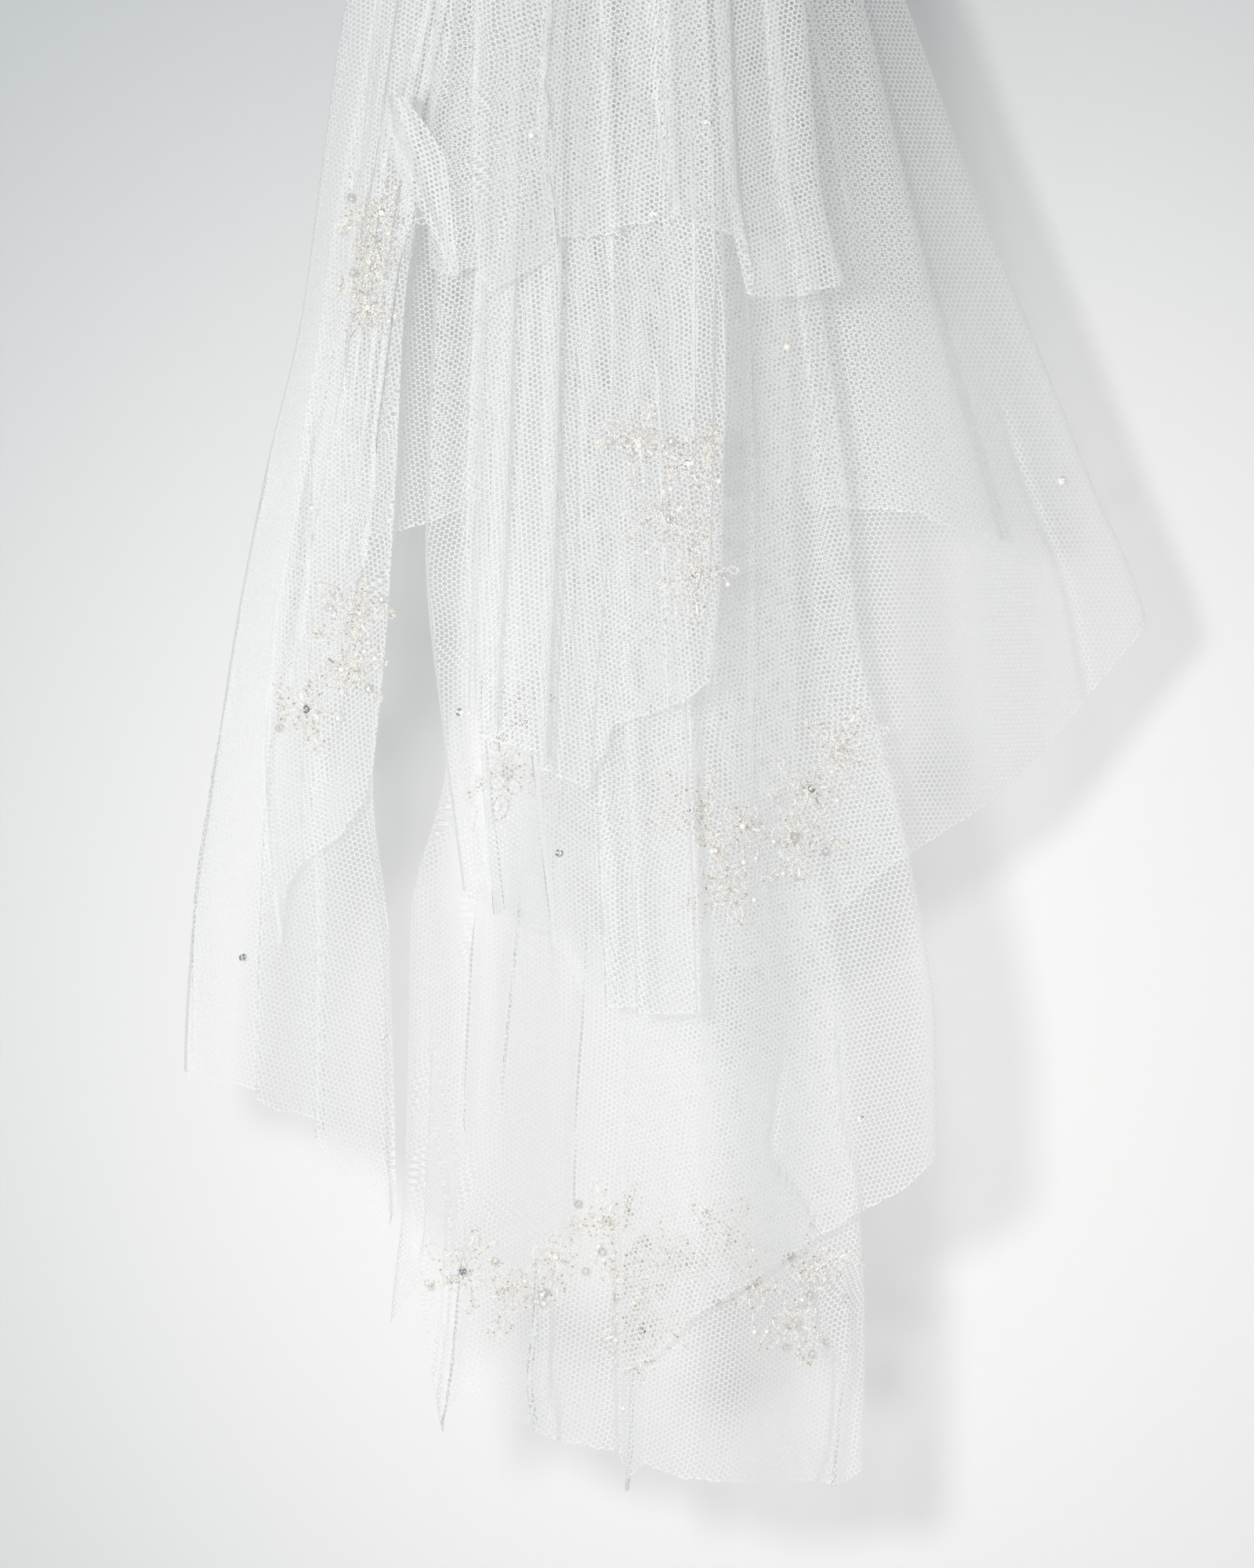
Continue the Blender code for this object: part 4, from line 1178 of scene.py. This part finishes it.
# %% [markdown]
# Beads are strung on polyester thread. At this size a thread is a square tube, which costs four
# faces a step. Its corners are set off from its line by two directions at right angles to it.

# %% A thread
THREAD_CORNERS = ((1, 1), (-1, 1), (-1, -1), (1, -1))


def thread_tube(line, radius, beside):
    """A square thread along a line, closed at both ends. Beside is a way that it never runs."""
    tangent = np.gradient(line, axis=0)
    tangent /= np.linalg.norm(tangent, axis=1)[:, None]
    aside = np.cross(tangent, beside)
    aside /= np.maximum(np.linalg.norm(aside, axis=1), 1e-6)[:, None]
    up = np.cross(aside, tangent)
    corners = [line + radius * (a * aside + b * up) for a, b in THREAD_CORNERS]
    points = np.stack(corners, axis=1).reshape(-1, 3)
    i = 4 * np.arange(len(line) - 1)[:, None]
    k = np.arange(4)[None, :]
    after = (k + 1) % 4
    walls = np.stack([i + k, i + after, i + 4 + after, i + 4 + k], axis=-1).reshape(-1, 4)
    end = 4 * (len(line) - 1)
    caps = np.array([(3, 2, 1, 0), (end, end + 1, end + 2, end + 3)])
    return points, np.vstack([walls, caps])


print("corners of a thread:", len(THREAD_CORNERS))

# %% [markdown]
# A bead is noted on the flat cloth first, as its master, place, drop, direction and size. The next
# cell lays a whole list of them on a layer: a ray finds the cloth under each bead, and the bead is
# turned to lie along its row or to face out of the cloth. One bead in eight or so is painted dark,
# as painted shade for a silver lining that faces away from the light, and every face's tone is
# spread a little about its bead's, as painted glints.

# %% Sew beads to a layer
Bead = namedtuple("Bead", "master x drop turn radius length lift")

SEED_RADIUS = 0.78
SEED_LENGTH = 1.2
SEED_PITCH = 1.5
THREAD_RADIUS = 0.16
SEWN_LIFT = 1.1
NORMAL_SHARE = 0.35
# Painted light: a share of beads is painted dark as a lining turned from the light, and the rest
# are bright with painted glints.
PAINTED_DARK_BEADS = 0.12
PAINTED_DARK_TONES = (0.0, 0.35)
BRIGHT_TONES_WITH_PAINTED_GLINTS = (0.3, 1.0)
STONE_PAINTED_GLINTS = 0.7
BEAD_PAINTED_GLINTS = 0.3
THREAD_LIFT = 0.7 * SEWN_LIFT
FACES_OUT = ("stone", "pearl", "sequin")


def sew(name, layer, beads, threads, seed):
    """One mesh of beads and thread laid on a layer's front."""
    pick = np.random.default_rng(seed)
    points, faces, finish, tone, start = [], [], [], [], 0
    for bead in beads:
        y, normal = on_cloth(layer, bead.x, bead.drop)
        out = (normal * NORMAL_SHARE + Vector((0.0, -1.0, 0.0)) * (1 - NORMAL_SHARE)).normalized()
        row = Vector((math.cos(bead.turn), 0.0, -math.sin(bead.turn)))
        row = (row - row.dot(out) * out).normalized()
        axis, first = (out, row) if bead.master in FACES_OUT else (row, out)
        second = axis.cross(first)
        shape, shape_faces = MASTERS[bead.master]
        place = np.array((bead.x, y, -bead.drop)) + np.array(out) * bead.lift
        frame_of = np.array([first * bead.radius, second * bead.radius, axis * bead.length])
        points.append(place + shape @ frame_of)
        faces += [tuple(dict.fromkeys((face + start).tolist())) for face in shape_faces]
        finish += [MASTER_FINISH[bead.master]] * len(shape_faces)
        # Painted glints: each face's tone is spread about its bead's, widest on stones; a dark bead
        # is painted shade.
        spread = STONE_PAINTED_GLINTS if bead.master == "stone" else BEAD_PAINTED_GLINTS
        tones = PAINTED_DARK_TONES if pick.random() < PAINTED_DARK_BEADS else BRIGHT_TONES_WITH_PAINTED_GLINTS
        middle = pick.uniform(*tones)
        tone.append(np.clip(middle + pick.uniform(-spread, spread, len(shape_faces)), 0, 1))
        start += len(shape)
    for path in threads:
        line = []
        for x, drop in path:
            line.append((x, on_cloth(layer, x, drop)[0] - THREAD_LIFT, -drop))
        tube, tube_faces = thread_tube(np.array(line), THREAD_RADIUS, (0.0, -1.0, 0.0))
        points.append(tube)
        faces += (tube_faces + start).tolist()
        finish += [THREAD] * len(tube_faces)
        tone.append(pick.uniform(0.0, 1.0, len(tube_faces)))
        start += len(tube)
    mesh = bpy.data.meshes.new(name)
    mesh.from_pydata((np.concatenate(points) * MM).tolist(), [], faces)
    for material in FINISHES:
        mesh.materials.append(material)
    mesh.polygons.foreach_set("material_index", finish)
    mesh.attributes.new("tone", "FLOAT", "FACE").data.foreach_set("value", np.concatenate(tone))
    piece = bpy.data.objects.new(name, mesh)
    bpy.context.scene.collection.objects.link(piece)
    return piece


trimmings = {}
print("seed beads are", round(2 * SEED_RADIUS, 1), "mm across")

# %% [markdown]
# ## Lace motifs
#
# A petal is a loop shaped like a drop, a leaf is a loop with a pointed end, and a sprig is a curved
# row that ends in a sequin, a small loop or a pearl. Each is walked at the pitch of the beads.

# %% Paths of petals, leaves and sprigs
LOOP_STEPS = 24
CURL_STEP = 1.2


def walk(path, pitch):
    """Places along a flat path at an even pitch, each with the path's direction."""
    path = np.array(path)
    steps = np.diff(path, axis=0)
    reach = np.concatenate([[0.0], np.cumsum(np.hypot(steps[:, 0], steps[:, 1]))])
    count = max(int(reach[-1] / pitch), 2)
    at = (np.arange(count) + 0.5) * reach[-1] / count
    x, drop = np.interp(at, reach, path[:, 0]), np.interp(at, reach, path[:, 1])
    step = np.clip(np.searchsorted(reach, at) - 1, 0, len(steps) - 1)
    turn = [math.atan2(steps[i][1], steps[i][0]) for i in step]
    return list(zip(x, drop, turn))


def placed(x, drop, way, along, aside):
    """A point so far along one way and aside from it."""
    c, s = math.cos(way), math.sin(way)
    return x + along * c - aside * s, drop + along * s + aside * c


def petal_path(x, drop, way, length, half):
    """A closed loop shaped like a drop that points back at the flower's middle."""
    path = []
    for k in range(LOOP_STEPS + 1):
        phi = 2 * math.pi * k / LOOP_STEPS
        along = length * (0.60 - 0.40 * math.cos(phi))
        aside = half * math.sin(phi) * (0.35 + 0.65 * along / length)
        path.append(placed(x, drop, way, along, aside))
    return path


def leaf_path(x, drop, way, length, half):
    """A closed loop with a point at each end."""
    path = []
    half_way = LOOP_STEPS // 2
    for k in range(LOOP_STEPS + 1):
        t = min(k, LOOP_STEPS - k) / half_way
        side = 1 if k <= half_way else -1
        along, aside = length * t, side * half * math.sin(math.pi * t**0.85)
        path.append(placed(x, drop, way, along, aside))
    return path


def curl_path(x, drop, way, length, bend):
    """A row that starts out one way and bends steadily."""
    path = [(x, drop)]
    steps = max(int(length / CURL_STEP), 4)
    for k in range(steps):
        turn = way + bend * k / steps
        px, pd = path[-1]
        path.append((px + length / steps * math.cos(turn), pd + length / steps * math.sin(turn)))
    return path


print("beads round one petal:", len(walk(petal_path(0.0, 0.0, 0.0, 11.0, 4.0), SEED_PITCH)))

# %% [markdown]
# A flower's heart is a stone, a pearl, or a cup sequin held down by a bead. A ring of seed beads
# goes round it. The same small groups end the sprigs, a little smaller.

# %% Rows of seeds, hearts and ends
HEART_RING = 3.1
RING_STEPS = 13

# master, radius, length, lift
HEART_BEADS = {
    "stone": (("stone", 2.3, 3.0, 0.0),),
    "pearl": (("pearl", 1.9, 1.9, 1.0),),
    "sequin": (("sequin", 2.6, 2.6, 0.0), ("seed", 0.9, 1.2, 1.0)),
}
END_BEADS = {
    "pearl": (("pearl", 1.5, 1.5, 0.8),),
    "sequin": (("sequin", 2.5, 2.5, 0.0), ("seed", 0.8, 1.1, 0.9)),
}


def seeds_along(path, pitch=SEED_PITCH, size=1.0):
    """Seed beads along a path."""
    return [Bead("seed", x, drop, turn, SEED_RADIUS * size, SEED_LENGTH * size, SEWN_LIFT)
            for x, drop, turn in walk(path, pitch)]


def stack_of(rows, x, drop):
    """Beads sewn on one place, one over the other."""
    return [Bead(master, x, drop, 0.0, radius, length, SEWN_LIFT + lift)
            for master, radius, length, lift in rows]


def cluster(kind, x, drop):
    """A flower's heart in its ring of seeds."""
    ways = np.linspace(0, 2 * math.pi, RING_STEPS)
    beads = seeds_along([placed(x, drop, way, HEART_RING, 0.0) for way in ways])
    return beads + stack_of(HEART_BEADS[kind], x, drop)


print("beads in a flower's heart:", {kind: len(cluster(kind, 0.0, 0.0)) for kind in HEART_BEADS})

# %% [markdown]
# The eight sprays have the flowers and leaves of their solids, at the same places. A flower has
# five petals between its notches, and a leaf grows outward from a notch.

# %% The eight sprays
# Each piece of lace.
# flowers: place across, drop, radius, turn in degrees
# leaves: flower that it grows from, notch that it starts at, length
Spray = namedtuple("Spray", "name sheet flowers leaves")

SPRAYS = (
    Spray(
        "lace_upper_left", "left_front_fall",
        ((-126.0, 386.0, 10.0, 0.0), (-130.0, 411.0, 10.5, 20.0), (-133.0, 437.0, 10.0, 50.0)),
        ((0, 4, 14.0), (2, 1, 13.0)),
    ),
    Spray(
        "lace_lower_left", "left_front_fall",
        ((-140.0, 602.0, 11.0, 10.0), (-147.0, 629.0, 12.0, 40.0), (-166.0, 650.0, 11.0, 0.0)),
        ((0, 3, 16.0), (0, 2, 14.0), (2, 3, 12.0), (2, 1, 15.0)),
    ),
    Spray(
        "lace_centre", "elbow_tier",
        ((11.0, 512.0, 10.0, 0.0), (36.0, 522.0, 12.0, 25.0), (27.0, 551.0, 12.0, 60.0),
         (40.0, 580.0, 12.0, 15.0)),
        ((0, 3, 14.0), (0, 4, 13.0), (1, 4, 12.0), (3, 1, 14.0), (3, 2, 13.0)),
    ),
    Spray(
        "lace_under", "long_tier",
        ((-50.0, 656.0, 11.0, 5.0), (-59.0, 684.0, 12.0, 30.0)),
        ((0, 4, 14.0), (0, 3, 14.0), (1, 1, 15.0), (1, 0, 14.0)),
    ),
    Spray(
        "lace_right", "front_right_fall",
        ((119.0, 671.0, 10.5, 0.0), (102.0, 692.0, 10.5, 30.0), (93.0, 718.0, 12.0, 10.0),
         (65.0, 712.0, 12.0, 50.0), (38.0, 704.0, 11.0, 20.0), (56.0, 741.0, 12.0, 0.0)),
        (
            (0, 4, 14.0), (0, 3, 14.0), (2, 0, 14.0), (2, 1, 14.0), (4, 2, 14.0), (4, 3, 14.0),
            (5, 2, 14.0), (5, 1, 14.0),
        ),
    ),
    Spray(
        "lace_hem_left", "long_tier",
        ((-83.0, 948.0, 11.0, 0.0), (-57.0, 958.0, 11.5, 30.0), (-34.0, 941.0, 12.0, 15.0)),
        ((0, 3, 14.0), (0, 4, 14.0), (2, 1, 14.0), (1, 1, 14.0)),
    ),
    Spray(
        "lace_hem_middle", "long_tier",
        ((-7.0, 922.0, 11.0, 40.0), (3.0, 950.0, 12.0, 0.0), (12.0, 979.0, 11.0, 20.0),
         (29.0, 939.0, 11.0, 50.0)),
        ((0, 3, 14.0), (0, 4, 14.0), (2, 1, 14.0), (2, 0, 14.0), (2, 2, 14.0)),
    ),
    Spray(
        "lace_hem_right", "long_tier",
        ((56.0, 930.0, 11.0, 10.0), (70.0, 956.0, 12.5, 35.0), (94.0, 975.0, 11.5, 0.0),
         (106.0, 948.0, 11.0, 45.0)),
        (
            (0, 4, 14.0), (0, 3, 14.0), (2, 1, 14.0), (2, 2, 14.0), (3, 3, 14.0), (3, 4, 9.0),
        ),
    ),
)
print("flowers:", sum(len(spray.flowers) for spray in SPRAYS),
      "leaves:", sum(len(spray.leaves) for spray in SPRAYS))

# %% [markdown]
# Real sprays are less even than their pattern. Some petals have a second row inside and the others
# a bugle bead, and sprigs stray from the rims. A seeded generator picks these, so the veil comes
# out the same each time.

# %% Flowers, leaves and sprigs in beads
PETALS = 5
HEARTS = ("stone", "sequin", "pearl", "stone", "sequin")
PETAL_REACH = (0.96, 1.12)
PETAL_HALF = 0.40
INNER_ROWS = 0.6
INNER_REACH = 0.68
INNER_HALF = 0.18
BUGLE_RADIUS = 0.75
BUGLE_LENGTHS = (3.8, 4.2)
LEAF_HALF = 0.28
SPRIGS_TO_A_FLOWER = 7
SPRIG_START = (0.5, 1.0)
SPRIG_LENGTH = (6.0, 13.0)
SPRIG_BEND = 1.6
SPRIG_ENDS = ("sequin", "loop", "pearl", "loop")
END_LOOP_LENGTH = (5.0, 8.0)
END_LOOP_HALF = 2.2
END_LOOP_TURN = 0.8


def bead_flower(flower, pick, heart):
    """A flower's petals and heart, with the threads that they are strung on."""
    x, drop, radius, turn = flower
    beads, threads = cluster(heart, x, drop), []
    for k in range(PETALS):
        way = math.radians(turn) + 2 * math.pi * (k + 0.5) / PETALS
        reach = radius * pick.uniform(*PETAL_REACH)
        path = petal_path(x, drop, way, reach, radius * PETAL_HALF)
        beads += seeds_along(path)
        threads.append(path)
        if pick.random() < INNER_ROWS:
            inner = petal_path(x, drop, way, reach * INNER_REACH, radius * INNER_HALF)
            beads += seeds_along(inner, size=0.85)
        else:
            at = placed(x, drop, way, 0.62 * reach, 0.0)
            beads.append(Bead("bugle", *at, way, BUGLE_RADIUS, BUGLE_LENGTHS[0], SEWN_LIFT))
    return beads, threads


def bead_leaf(flower, notch, length):
    """A leaf outlined in seeds, with a bugle along its middle."""
    x, drop, radius, turn = flower
    way = math.radians(turn) + 2 * math.pi * notch / PETALS
    root = placed(x, drop, way, 0.95 * radius, 0.0)
    path = leaf_path(*root, way, length, LEAF_HALF * length)
    at = placed(*root, way, 0.5 * length, 0.0)
    bugle = Bead("bugle", *at, way, BUGLE_RADIUS, BUGLE_LENGTHS[1], SEWN_LIFT)
    return seeds_along(path) + [bugle], [path]


def bead_sprig(flower, pick):
    """A stray row of beads from a flower's rim, ending in a sequin, a pearl or a small loop."""
    x, drop, radius, _ = flower
    way = pick.uniform(0, 2 * math.pi)
    root = placed(x, drop, way, radius * pick.uniform(*SPRIG_START), 0.0)
    path = curl_path(*root, way, pick.uniform(*SPRIG_LENGTH), pick.uniform(-SPRIG_BEND, SPRIG_BEND))
    beads = seeds_along(path, size=0.9)
    end = pick.choice(SPRIG_ENDS)
    if end in END_BEADS:
        return beads + stack_of(END_BEADS[end], *path[-1]), [path]
    turn = way + pick.uniform(-END_LOOP_TURN, END_LOOP_TURN)
    loop = petal_path(*path[-1], turn, pick.uniform(*END_LOOP_LENGTH), END_LOOP_HALF)
    beads += seeds_along(loop, size=0.9)
    return beads, [path + loop]


print("sprigs to a flower:", SPRIGS_TO_A_FLOWER)

# %% [markdown]
# Where a spray lies over a sharp fold of the net, its rows are crushed together. The beads there
# stand in narrow upright loops, one over the other, so a crushed fold shows as a dense streak.

# %% Crushed bundles
# spray, place across, top drop, bottom drop, loops
Bundle = namedtuple("Bundle", "spray x top bottom loops")

BUNDLES = (
    Bundle("lace_upper_left", -137.0, 372.0, 446.0, 16),
    Bundle("lace_lower_left", -139.0, 590.0, 632.0, 18),
    Bundle("lace_centre", 47.0, 500.0, 570.0, 16),
    Bundle("lace_right", 46.0, 690.0, 748.0, 14),
    Bundle("lace_hem_middle", 14.0, 930.0, 1004.0, 22),
    Bundle("lace_hem_middle", 6.0, 896.0, 940.0, 10),
)
BUNDLE_HALF = 4.5
CRUSHED_TURN = 0.45
CRUSHED_LENGTH = (7.0, 12.0)
CRUSHED_HALF = (1.0, 2.2)


def bead_bundle(bundle, pick):
    """Narrow upright loops of small beads, heaped along one fold."""
    beads, threads = [], []
    for _ in range(bundle.loops):
        x = bundle.x + pick.uniform(-BUNDLE_HALF, BUNDLE_HALF)
        drop = pick.uniform(bundle.top, bundle.bottom)
        way = math.pi / 2 * pick.choice((-1.0, 1.0)) + pick.uniform(-CRUSHED_TURN, CRUSHED_TURN)
        loop = petal_path(x, drop, way, pick.uniform(*CRUSHED_LENGTH), pick.uniform(*CRUSHED_HALF))
        beads += seeds_along(loop, size=0.8)
        threads.append(loop)
    return beads, threads


print("bundles:", len(BUNDLES), "with", sum(bundle.loops for bundle in BUNDLES), "loops")

# %% [markdown]
# Each spray now comes together: its flowers with their sprigs and leaves, then its bundles, all
# sewn to the layer under it.

# %% Bead the sprays
for index, spray in enumerate(SPRAYS):
    pick = np.random.default_rng(11 + index)
    parts = []
    for i, flower in enumerate(spray.flowers):
        parts.append(bead_flower(flower, pick, HEARTS[(i + index) % len(HEARTS)]))
        parts += [bead_sprig(flower, pick) for _ in range(SPRIGS_TO_A_FLOWER)]
        parts += [bead_leaf(flower, notch, length)
                  for owner, notch, length in spray.leaves if owner == i]
    parts += [bead_bundle(bundle, pick) for bundle in BUNDLES if bundle.spray == spray.name]
    beads = [bead for some_beads, _ in parts for bead in some_beads]
    threads = [path for _, some_threads in parts for path in some_threads]
    name = spray.name
    pieces[name] = sew("beaded_" + name, spray.sheet, beads, threads, 90 + index)
    print(name, "beads", len(beads), "faces", len(pieces[name].data.polygons))

# %% [markdown]
# ## Single stones
#
# Here and there a faceted stone, a pearl or a bead is sewn to the plain net. Each has its own place
# on one layer, so all that lie on the same layer can join that layer's own trimming piece.

# %% Scatter the single stones
STONE_HEIGHT = 1.3
Single = namedtuple("Single", "master x drop layer radius")

SINGLES = (
    Single("pearl", -45.8, 350.8, "short_tier", 1.7),
    Single("stone", 46.3, 344.0, "short_tier", 2.4),
    Single("stone", 18.3, 392.0, "short_tier", 2.4),
    Single("pearl", -108.0, 401.0, "shoulder_tier", 1.7),
    Single("pearl", 89.2, 457.5, "front_right_fall", 2.2),
    Single("stone", -162.5, 543.0, "left_front_fall", 1.6),
    Single("stone", 239.0, 526.0, "back_right_fall", 2.4),
    Single("stone", -83.8, 652.0, "centre_fall", 2.2),
    Single("pearl", -78.8, 652.5, "centre_fall", 1.4),
    Single("stone", -31.7, 726.0, "centre_fall", 2.2),
    Single("stone", -200.0, 782.0, "left_fall", 2.3),
    Single("stone", -124.2, 824.0, "left_fall", 1.7),
    Single("stone", 129.0, 866.7, "front_right_fall", 2.1),
    Single("pearl", 2.5, 1021.7, "long_tier", 1.5),
)

for layer in dict.fromkeys(single.layer for single in SINGLES):
    beads = [Bead(s.master, s.x, s.drop, 0.4, s.radius,
                  s.radius * (STONE_HEIGHT if s.master == "stone" else 1.0), SEWN_LIFT)
             for s in SINGLES if s.layer == layer]
    trimmings["stones_" + layer] = sew("stones_" + layer, layer, beads, [], 300 + len(layer))
print("single stones:", len(SINGLES), "on", len(trimmings), "layers")

# %% [markdown]
# ## The comb
#
# The comb is bent from silver-plated wire. Its solid already has the right shape, so it stays, and
# only its finish is new: polished plate is a metal, so it needs a colour, a low roughness and a
# trace of unevenness from the plating bath.

# %% Finish the comb
CLOUD_SCALE = 160.0


def silver_plate(name):
    """Silver-plated wire: near-white metal with a faint cloudiness from the bath."""
    material, tree = new_material(name)
    place = add(tree, "ShaderNodeTexCoord", {}, {})
    cloud = add(tree, "ShaderNodeTexNoise", {},
                {"Vector": place.outputs["Object"], "Scale": CLOUD_SCALE})
    rough = add(tree, "ShaderNodeMapRange", {},
                {"Value": cloud.outputs[0], "To Min": 0.16, "To Max": 0.34})
    tone = add(tree, "ShaderNodeMix", {"data_type": "RGBA"},
               {"Factor": cloud.outputs[0], 6: linear("#D9D9DB"), 7: linear("#F1F0EE")})
    shader = add(tree, "ShaderNodeBsdfPrincipled", {},
                 {"Base Color": tone.outputs["Result"], "Metallic": 1.0,
                  "Roughness": rough.outputs[0]})
    add(tree, "ShaderNodeOutputMaterial", {}, {"Surface": shader.outputs[0]})
    return material


plate = silver_plate("silver_plated_wire")
comb = bpy.data.objects["comb"]
comb.data.materials.clear()
comb.data.materials.append(plate)
for polygon in comb.data.polygons:
    polygon.use_smooth = False
low = [round(min(v.co[i] for v in comb.data.vertices) / MM, 1) for i in range(3)]
high = [round(max(v.co[i] for v in comb.data.vertices) / MM, 1) for i in range(3)]
print("comb from", low, "to", high, "mm in", plate.name)

# %% [markdown]
# The gathered headers are overcast to the comb's spine with a doubled thread. That is one long
# thread, which is modelled as a row of slanting loops round the spine and the headers beside it.

# %% Stitch the veil to the comb
COMB_HALF = 47.0
LOOPS = 33
LOOP_PITCH = 2 * COMB_HALF / LOOPS
LOOP_POINTS = 17
LOOP_MIDDLE = (-6.2, 0.6)
LOOP_HALF = (9.4, 6.0)
STITCH_THREAD = 0.3


def overcast_loop(x):
    """One slanting loop of thread round the spine and the headers beside it."""
    turns = np.linspace(0.0, 2 * math.pi, LOOP_POINTS)
    return np.stack([x + LOOP_PITCH * turns / (2 * math.pi),
                     LOOP_MIDDLE[0] + LOOP_HALF[0] * np.cos(turns),
                     LOOP_MIDDLE[1] + LOOP_HALF[1] * np.sin(turns)], axis=1)


points, faces, start = [], [], 0
for k in range(LOOPS):
    loop = overcast_loop(-COMB_HALF + k * LOOP_PITCH)
    tube, tube_faces = thread_tube(loop, STITCH_THREAD, (1.0, 0.0, 0.0))
    points.append(tube)
    faces += (tube_faces + start).tolist()
    start += len(tube)
mesh = bpy.data.meshes.new("overcast_stitches")
mesh.from_pydata((np.concatenate(points) * MM).tolist(), [], faces)
mesh.materials.append(FINISHES[THREAD])
trimmings["overcast_stitches"] = bpy.data.objects.new("overcast_stitches", mesh)
bpy.context.scene.collection.objects.link(trimmings["overcast_stitches"])
print("overcast with", LOOPS, "loops,", round(LOOP_PITCH, 1), "mm apart")

# %% [markdown]
# ## Cut sizes and bodies
#
# Every stretch is given the size that what shows of it would have laid flat: its width across the
# hem over the folds, its longest drop with the header, and its area, which is less than their
# product because each stretch narrows towards the comb, and its piece's area is printed as a share
# of it. Everything rides on the one rigid body, and the solids that the stretches, the corner and
# the lace replace are hidden.

CUTS = {
    "back_right_fall": (0.38, 0.79, 0.141),
    "shoulder_tier": (0.41, 0.57, 0.162),
    "long_tier": (0.45, 1.07, 0.286),
    "left_fall": (0.19, 0.93, 0.115),
    "front_right_fall": (0.23, 1.01, 0.148),
    "left_front_fall": (0.12, 0.78, 0.057),
    "centre_fall": (0.23, 0.82, 0.176),
    "elbow_tier": (0.22, 0.70, 0.13),
    "short_tier": (0.42, 0.44, 0.123),
    "turned_corner": (0.032, 0.105, 0.0021),
}

for name, piece in pieces.items():
    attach(piece, "root")
    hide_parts(name)
for piece in trimmings.values():
    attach(piece, "root")
for name, (width, length, area) in CUTS.items():
    print(name, "is cut", width, "by", length, "m and has",
          round(area_of(pieces[name]) / area, 2), "of its area")
